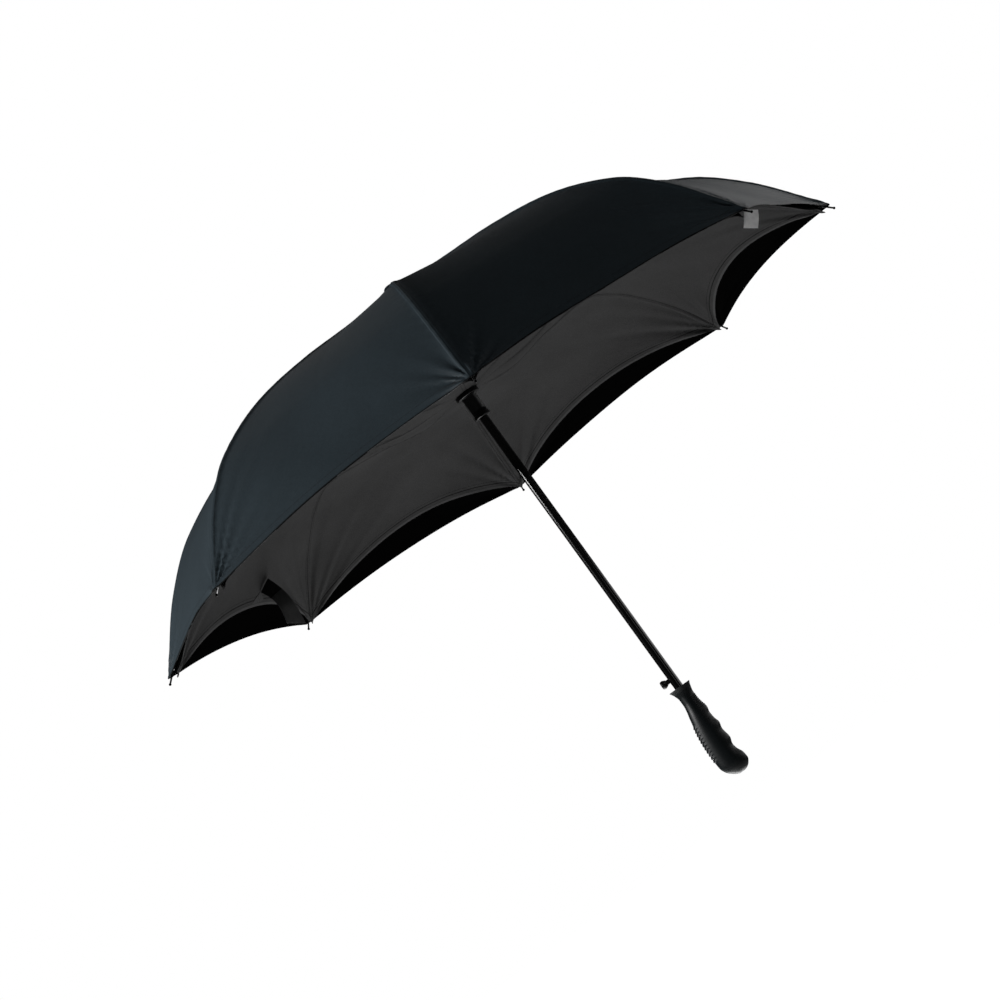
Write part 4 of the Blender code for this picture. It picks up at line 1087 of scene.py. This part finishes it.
# Grip: share down the grip, then finger side, palm side and half depth as shares of half depth
GRIP_TOP = -0.3880
GRIP_LENGTH = 0.1320
GRIP_HALF_DEPTH = 0.0145
GRIP_REACH_SHARE = 0.97
GRIP_SHARES = (
    (0.000, 1.12, 1.10, 1.04),
    (0.022, 1.02, 0.96, 0.94),
    (0.052, 0.93, 0.82, 0.83),
    (0.107, 0.82, 0.68, 0.74),
    (0.165, 0.81, 0.67, 0.73),
    (0.232, 0.89, 0.75, 0.78),
    (0.298, 1.04, 0.90, 0.87),
    (0.363, 0.93, 1.03, 0.92),
    (0.430, 0.98, 1.15, 0.95),
    (0.486, 1.12, 1.24, 0.97),
    (0.555, 0.98, 1.32, 0.99),
    (0.658, 1.11, 1.38, 1.00),
    (0.735, 0.93, 1.39, 1.00),
    (0.777, 0.99, 1.39, 0.99),
    (0.855, 1.29, 1.35, 0.97),
    (0.913, 1.34, 1.13, 0.88),
    (0.965, 1.08, 0.66, 0.68),
    (0.988, 0.80, 0.34, 0.48),
    (1.000, 0.50, 0.10, 0.30),
)
GRIP_SIDES = 72
GRIP_EVEN_SHARE = 0.93
GRIP_EVEN_ROWS = 210
GRIP_END_ROWS = 16
GRIP_END_START = 0.05
PATTERN_FADE_SHARE = 0.01
# The grip's mouth round the shaft: radius and height above its top
GRIP_MOUTH = ((0.0112, 0.0001), (0.0090, -0.0006), (0.0086, -0.01))
# Teeth down the back and ridges in front: ends along the grip, and how they fade round it
TEETH = 11
TEETH_SHARES = (0.385, 0.785)
TOOTH_DEPTH = 0.0014
TOOTH_RISE_SHARE = 0.75
TEETH_ROUND_SHARES = (0.72, 0.93)
RIDGES = 8
RIDGES_SHARES = (0.127, 0.275)
RIDGE_DEPTH = 0.0006
RIDGES_ROUND_SHARES = (0.25, 0.6)


def grip_rows():
    even = np.linspace(0.0, GRIP_EVEN_SHARE, GRIP_EVEN_ROWS)
    turns = np.linspace(GRIP_END_START, 1.0, GRIP_END_ROWS) * math.pi / 2
    return np.concatenate([even, GRIP_EVEN_SHARE + (1 - GRIP_EVEN_SHARE) * np.sin(turns)])


def pattern(shares, ends):
    """How far along a pattern each share lies, and how much of it shows there."""
    low, high = ends
    reach = PATTERN_FADE_SHARE
    shown = fade(shares, low - reach, low + reach) * (1 - fade(shares, high - reach, high + reach))
    return (shares - low) / (high - low), shown


def grip_mesh():
    """The grip: finger waves in front, saw teeth down the back and fine ridges for the thumb."""
    shares = grip_rows()
    down, *sides = np.array(GRIP_SHARES).T
    curves = [list(zip(down, side, strict=True)) for side in sides]
    finger, palm, deep = (smooth_heights(curve, shares) for curve in curves)
    angles = np.arange(GRIP_SIDES) * math.tau / GRIP_SIDES
    cos, sin = np.cos(angles)[None, :], np.sin(angles)[None, :]
    reach = np.where(cos > 0, finger[:, None], palm[:, None])
    x = GRIP_HALF_DEPTH * reach * GRIP_REACH_SHARE * cos
    y = GRIP_HALF_DEPTH * deep[:, None] * sin
    along, shown = pattern(shares[:, None], TEETH_SHARES)
    phase = np.mod(along * TEETH, 1.0)
    saw = np.minimum(phase / TOOTH_RISE_SHARE, (1 - phase) / (1 - TOOTH_RISE_SHARE))
    x -= TOOTH_DEPTH * saw * shown * fade(-cos, *TEETH_ROUND_SHARES)
    along, shown = pattern(shares[:, None], RIDGES_SHARES)
    ripple = 0.5 - 0.5 * np.cos(math.tau * along * RIDGES)
    push = RIDGE_DEPTH * ripple * shown * fade(cos, *RIDGES_ROUND_SHARES)
    x += push * cos
    y += push * sin
    z = np.broadcast_to(GRIP_TOP - shares[:, None] * GRIP_LENGTH, x.shape)
    points = np.stack([x, y, z], -1).reshape(-1, 3).tolist()
    count = len(shares)
    rows = range(count + len(GRIP_MOUTH))
    rings = [list(range(row * GRIP_SIDES, (row + 1) * GRIP_SIDES)) for row in rows]
    for radius, rise in GRIP_MOUTH:
        points += [(radius * math.cos(a), radius * math.sin(a), GRIP_TOP + rise) for a in angles]
    order = [*reversed(rings[count:]), *rings[:count]]
    faces = [order[0], order[-1]]
    for low, high in zip(order, order[1:], strict=False):
        faces += bridge(low, high)
    return new_mesh("grip", [(px, py, lifted(pz)) for px, py, pz in points], faces)


def build_handle():
    add_piece("grip", grip_mesh(), MATERIALS["rubber"], "root", "grip_rubber", "handle_grip")


# Rib tips: ferrule with a groove, pin and ball, in one nickel painted bright on tips 6 and 7 as
# painted highlight and dark elsewhere as painted shade
ROD_END = 0.5152
SLOPE_SPAN = 0.004
FERRULE_OVERLAP = 0.003
TIP_DROP = 0.0050
TIP_SIDES = 20
TIP_BALL_RADIUS = 0.0018
BALL_ROWS = 9
FERRULE_RADIUS = 0.0022
FERRULE_WAIST_SHARE = 0.9
FERRULE_GROOVE_SHARES = (0.4, 0.5, 0.6)
FERRULE_LENGTH = 0.0062
FERRULE_LIP = 0.0004
PIN_RADIUS = 0.0012
BALL_REACH_SHARE = 1.15
# Tips whose nickel is painted bright, as painted highlight
PAINTED_HIGHLIGHT_TIPS = (6, 7)


def tip_line():
    """Where a tip leaves its rod, and the middle of its ball."""
    radii = np.array([ROD_END - SLOPE_SPAN, ROD_END])
    heights = smooth_heights(OUTER.points, radii)
    slope = (heights[1] - heights[0]) / SLOPE_SPAN
    drop = TIP_DROP / math.hypot(1, slope)
    start = (ROD_END - FERRULE_OVERLAP + drop * slope, 0, heights[1] - drop - FERRULE_OVERLAP * slope)
    return Vector(start), Vector((TIP_RADIUS - TIP_BALL_RADIUS, 0, -TIP_DROP))


def build_tips():
    start, ball = tip_line()
    length = (ball - start).length
    waist = FERRULE_RADIUS * FERRULE_WAIST_SHARE
    groove = [FERRULE_LENGTH * share for share in FERRULE_GROOVE_SHARES]
    profile = [(0, -FERRULE_LIP), (waist, -FERRULE_LIP), (FERRULE_RADIUS, FERRULE_LIP)]
    profile += zip((FERRULE_RADIUS, waist, FERRULE_RADIUS), groove, strict=True)
    profile += [(FERRULE_RADIUS, FERRULE_LENGTH), (PIN_RADIUS, FERRULE_LENGTH + PIN_RADIUS)]
    profile.append((PIN_RADIUS, length - TIP_BALL_RADIUS))
    for k in range(1, BALL_ROWS):
        angle = -math.pi / 2 + math.pi * k / BALL_ROWS
        profile.append((TIP_BALL_RADIUS * math.cos(angle), length + TIP_BALL_RADIUS * math.sin(angle)))
    profile.append((0, length + TIP_BALL_RADIUS))
    aim = Vector((0, 0, 1)).rotation_difference(ball - start).to_matrix().to_4x4()
    for rib in range(RIB_COUNT):
        number = rib + 1
        spin = Matrix.Rotation(rib * STEP, 4, "Z")
        place = Matrix.Translation((0, 0, MOUTH_HEIGHT)) @ spin @ Matrix.Translation(start) @ aim
        mesh = turned(f"tip_{number}", profile, TIP_SIDES, place)
        # Painted highlight on tips 6 and 7, painted shade on the other tips and on every ball
        finish = MATERIALS["bright" if number in PAINTED_HIGHLIGHT_TIPS else "dark"]
        add_piece(f"rib_tip_{number}", mesh, finish, f"rib_outer_{number}", "bright_steel")
        mesh.materials.append(MATERIALS["dark"])
        middle = place @ Vector((0, 0, length))
        for face in mesh.polygons:
            near_ball = (face.center - middle).length < TIP_BALL_RADIUS * BALL_REACH_SHARE
            face.material_index = int(near_ball)


# Closing strap below the inner canopy beside rib 4, and the blank label beside rib 8. Places on
# a canopy are a share across the gore and a radius.
STRAP_GORE = 3
STRAP_WIDTH = 0.0205
STRAP_CORNER = (0.423, 0.4619)
STRAP_TOWARDS = (0.372, 0.4471)
STRAP_DEPTH = 0.0020
STRAP_FALL_SHARES = (-0.065, -0.065, -1.0)
STRAP_EDGES = (0.0560, 0.0812)
STRAP_BOW = 0.0055
STRAP_THICKNESS = 0.0012
STRAP_CUP = -0.0008
STRAP_GRID = (32, 8)
TAB_DEPTH = 0.0011
TAB_HEM = ((0.50, 0.4745), (0.375, 0.4755))
TAB_GRID = (6, 4)
TAB_START_SHARE = 0.02
LABEL_GORE = 7
LABEL_CORNER = (0.009, 0.5215)
LABEL_DEPTH = 0.0018
LABEL_WIDTH = 0.0200
LABEL_LENGTH = 0.0215
LABEL_FALL_SHARES = (-0.42, -0.42, -0.81)
LABEL_WIDTH_SHARES = (0.16, 0.86, -0.40)
LABEL_THICKNESS = 0.0007
LABEL_CUP = 0.0006
LABEL_BOW = 0.0012
LABEL_GRID = (10, 6)
THIN_EDGE_SHARE = 0.45


def ribbon(name, edges, thickness, across, cup):
    """A soft flat band through pairs of points on its two edges, slightly cupped across."""
    layers, uvs = ([], []), []
    run = 0.0
    for k, (left, right) in enumerate(edges):
        before, after = edges[max(k - 1, 0)], edges[min(k + 1, len(edges) - 1)]
        way = after[0] + after[1] - before[0] - before[1]
        normal = way.cross(right - left).normalized()
        run += (left + right - before[0] - before[1]).length / 2
        for j in range(across + 1):
            share = 2 * j / across - 1
            half = thickness / 2 * (1.0 if 0 < j < across else THIN_EDGE_SHARE)
            for layer, side in zip(layers, (half, -half), strict=True):
                place = left.lerp(right, j / across) + normal * (cup * share * share + side)
                layer.append((place.x, place.y, lifted(place.z)))
            uvs.append((share * (right - left).length / 2, run))
    mesh = new_mesh(name, layers[0] + layers[1], shell_faces(len(edges), across + 1))
    for layer_name in ("cloth", "hem"):
        layer = mesh.uv_layers.new(name=layer_name)
        for loop in mesh.loops:
            layer.data[loop.index].uv = uvs[loop.vertex_index % len(uvs)]
    return mesh


def under(canopy, gore, share, radius, depth):
    """A point below the cloth at a share across a gore."""
    place = (np.array([float(gore)]), np.array([share]), np.array([radius]))
    return Vector(canopy.base(*place)[0]) - Vector(canopy.base_normal(*place)[0]) * depth


def hanging(corners, falls, bulge, rows):
    """Pairs of points down a band that hangs by two corners and bows out in its middle."""
    edges = []
    for k in range(rows + 1):
        share = k / rows
        shift = bulge * math.sin(math.pi * share)
        pairs = zip(corners, falls, strict=True)
        edges.append([corner + fall * share + shift for corner, fall in pairs])
    return edges


def build_strap():
    left = under(INNER, STRAP_GORE, *STRAP_CORNER, STRAP_DEPTH)
    slant = under(INNER, STRAP_GORE, *STRAP_TOWARDS, STRAP_DEPTH) - left
    right = left + slant * (STRAP_WIDTH / math.hypot(slant.x, slant.y))
    fall = Matrix.Rotation(STRAP_GORE * STEP, 3, "Z") @ Vector(STRAP_FALL_SHARES)
    bulge = (fall.cross(slant).normalized() + slant.normalized()) * STRAP_BOW
    rows, across = STRAP_GRID
    edges = hanging((left, right), [fall * length for length in STRAP_EDGES], bulge, rows)
    mesh = ribbon("strap_band", edges, STRAP_THICKNESS, across, STRAP_CUP)
    strap = add_piece("strap_band", mesh, MATERIALS["webbing"], "rib_outer_4", "webbing", "strap")
    declare_cloth(strap, STRAP_WIDTH, STRAP_EDGES[1])
    narrow(strap)


def build_strap_tab():
    """A small triangle of cloth that joins the strap's corner to the hem."""
    sew = under(INNER, STRAP_GORE, *STRAP_CORNER, TAB_DEPTH)
    hem = [under(INNER, STRAP_GORE, share, radius, TAB_DEPTH) for share, radius in TAB_HEM]
    rows, across = TAB_GRID
    shares = [(k + TAB_START_SHARE) / (rows + TAB_START_SHARE) for k in range(rows + 1)]
    edges = [(sew.lerp(hem[0], share), sew.lerp(hem[1], share)) for share in shares]
    mesh = ribbon("strap_tab", edges, CLOTH_THICKNESS, across, 0.0)
    tab = add_piece("strap_tab", mesh, MATERIALS["tab"], "rib_outer_4", "inner_cloth")
    length = (hem[0] + hem[1] - sew * 2).length / 2
    declare_cloth(tab, (hem[1] - hem[0]).length, length, TAB_SPARE_SHARE)
    narrow(tab)


def build_label():
    """A blank label that hangs by one corner from the outer canopy's inside."""
    turn = Matrix.Rotation(LABEL_GORE * STEP, 3, "Z")
    left = under(OUTER, LABEL_GORE, *LABEL_CORNER, LABEL_DEPTH)
    fall = turn @ Vector(LABEL_FALL_SHARES).normalized()
    width = turn @ Vector(LABEL_WIDTH_SHARES).normalized() * LABEL_WIDTH
    bulge = fall.cross(width).normalized() * LABEL_BOW
    rows, across = LABEL_GRID
    edges = hanging((left, left + width), [fall * LABEL_LENGTH] * 2, bulge, rows)
    mesh = ribbon("blank_label", edges, LABEL_THICKNESS, across, LABEL_CUP)
    label = add_piece("blank_label", mesh, MATERIALS["label"], "rib_outer_8", "label_cloth", "label")


def dress_frame():
    """Better finishes for the frame's own pieces that stay in sight."""
    moulded = ("top_notch", "runner_crown", "spring_seat", "handle_core")
    finishes = dict.fromkeys(moulded, "plastic")
    finishes |= dict.fromkeys(("main_spring", "button_spring", "spring_follower"), "steel")
    rods = {"inner_rib": "satin", "stretcher": "satin", "outer_rib": "fibre"}
    for rod, number in itertools.product(rods, range(1, RIB_COUNT + 1)):
        finishes[f"{rod}_{number}"] = rods[rod]
    for node, finish in finishes.items():
        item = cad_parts[node]
        item.data.materials.clear()
        item.data.materials.append(MATERIALS[finish])


# Name, direction and rise in degrees, distance from the mouth, width, height and plain level
LAMPS = (
    ("key", 197, 11, 2.6, 1.4, 0.5, 1.15),
    ("back", 44, 20, 2.6, 1.4, 0.8, 0.07),
    ("right", 330, 20, 2.6, 1.2, 1.2, 0.12),
    ("below", 110, -64, 1.75, 1.3, 1.3, 1.40),
    ("under", 215, -75, 1.8, 1.2, 1.2, 0.20),
    ("side", 21, -9, 2.0, 3.0, 0.5, 0.15),
)


def add_camera():
    yaw, rise, roll = (
        math.radians(d) for d in (CAMERA_YAW_DEGREES, CAMERA_RISE_DEGREES, CAMERA_ROLL_DEGREES)
    )
    turn = Matrix.Rotation(-yaw, 3, "Z") @ Matrix.Rotation(math.pi / 2 + rise, 3, "X")
    turn = turn @ Matrix.Rotation(roll, 3, "Z")
    camera = link("camera", bpy.data.cameras.new("camera"))
    camera.location = turn @ Vector((0, 0, CAMERA_DISTANCE)) + Vector((0, 0, MOUTH_HEIGHT))
    camera.rotation_euler = turn.to_euler()
    camera.data.sensor_width = SENSOR_WIDTH
    camera.data.sensor_height = SENSOR_WIDTH
    camera.data.lens = FOCAL_PIXELS / PICTURE_SIZE * SENSOR_WIDTH
    camera.data.shift_x = 0.5 - PICTURE_CENTRE[0] / PICTURE_SIZE
    camera.data.shift_y = PICTURE_CENTRE[1] / PICTURE_SIZE - 0.5
    bpy.context.scene.camera = camera


def add_lamp(name, degrees, rise_degrees, distance, width, height, level):
    """A soft lamp aimed at the middle of the mouth, where white facing it shows at its level."""
    turn, rise = math.radians(degrees), math.radians(rise_degrees)
    way = Vector((math.cos(turn) * math.cos(rise), math.sin(turn) * math.cos(rise), math.sin(rise)))
    lamp = link(name, bpy.data.lights.new(name, "AREA"))
    lamp.location = way * distance + Vector((0, 0, MOUTH_HEIGHT))
    lamp.rotation_euler = way.to_track_quat("Z", "Y").to_euler()
    lamp.data.shape = "RECTANGLE"
    lamp.data.size = width
    lamp.data.size_y = height
    lamp.data.energy = level * math.pi**2 * distance**2
    lamp.visible_camera = False


def seen(tree):
    """1 for camera rays."""
    return tree.nodes.new("ShaderNodeLightPath").outputs["Is Camera Ray"]


def add_world():
    """White for the camera, and a faint fill for everything else."""
    world = bpy.data.worlds.new("studio")
    world.use_nodes = True
    tree = world.node_tree
    level = tree.nodes.new("ShaderNodeMath")
    level.operation = "MAXIMUM"
    level.inputs[1].default_value = FILL_LEVEL
    tree.links.new(seen(tree), level.inputs[0])
    back = tree.nodes["Background"]
    back.inputs["Color"].default_value = (*WHITE, 1.0)
    tree.links.new(level.outputs[0], back.inputs["Strength"])
    bpy.context.scene.world = world


def add_floor():
    """A pale floor that shows white to the camera."""
    half = FLOOR_SIZE / 2
    signs = ((-1, -1), (1, -1), (1, 1), (-1, 1))
    corners = [(x * half, y * half, FLOOR_HEIGHT) for x, y in signs]
    nodes = Nodes("pale_floor", Specular_IOR_Level=0.0, Emission_Color=WHITE)
    nodes.fill(nodes.shader, Base_Color=FLOOR_COLOUR, Emission_Strength=seen(nodes.tree))
    link("floor", new_mesh("floor", corners, [(0, 1, 2, 3)]), nodes.material)


def main():
    bpy.context.scene.view_settings.view_transform = "Standard"
    add_camera()
    add_world()
    add_floor()
    for lamp in LAMPS:
        add_lamp(*lamp)
    build_canopies()
    build_shaft()
    build_cap()
    build_runner()
    build_button()
    build_handle()
    build_tips()
    build_strap()
    build_strap_tab()
    build_label()
    dress_frame()


main()
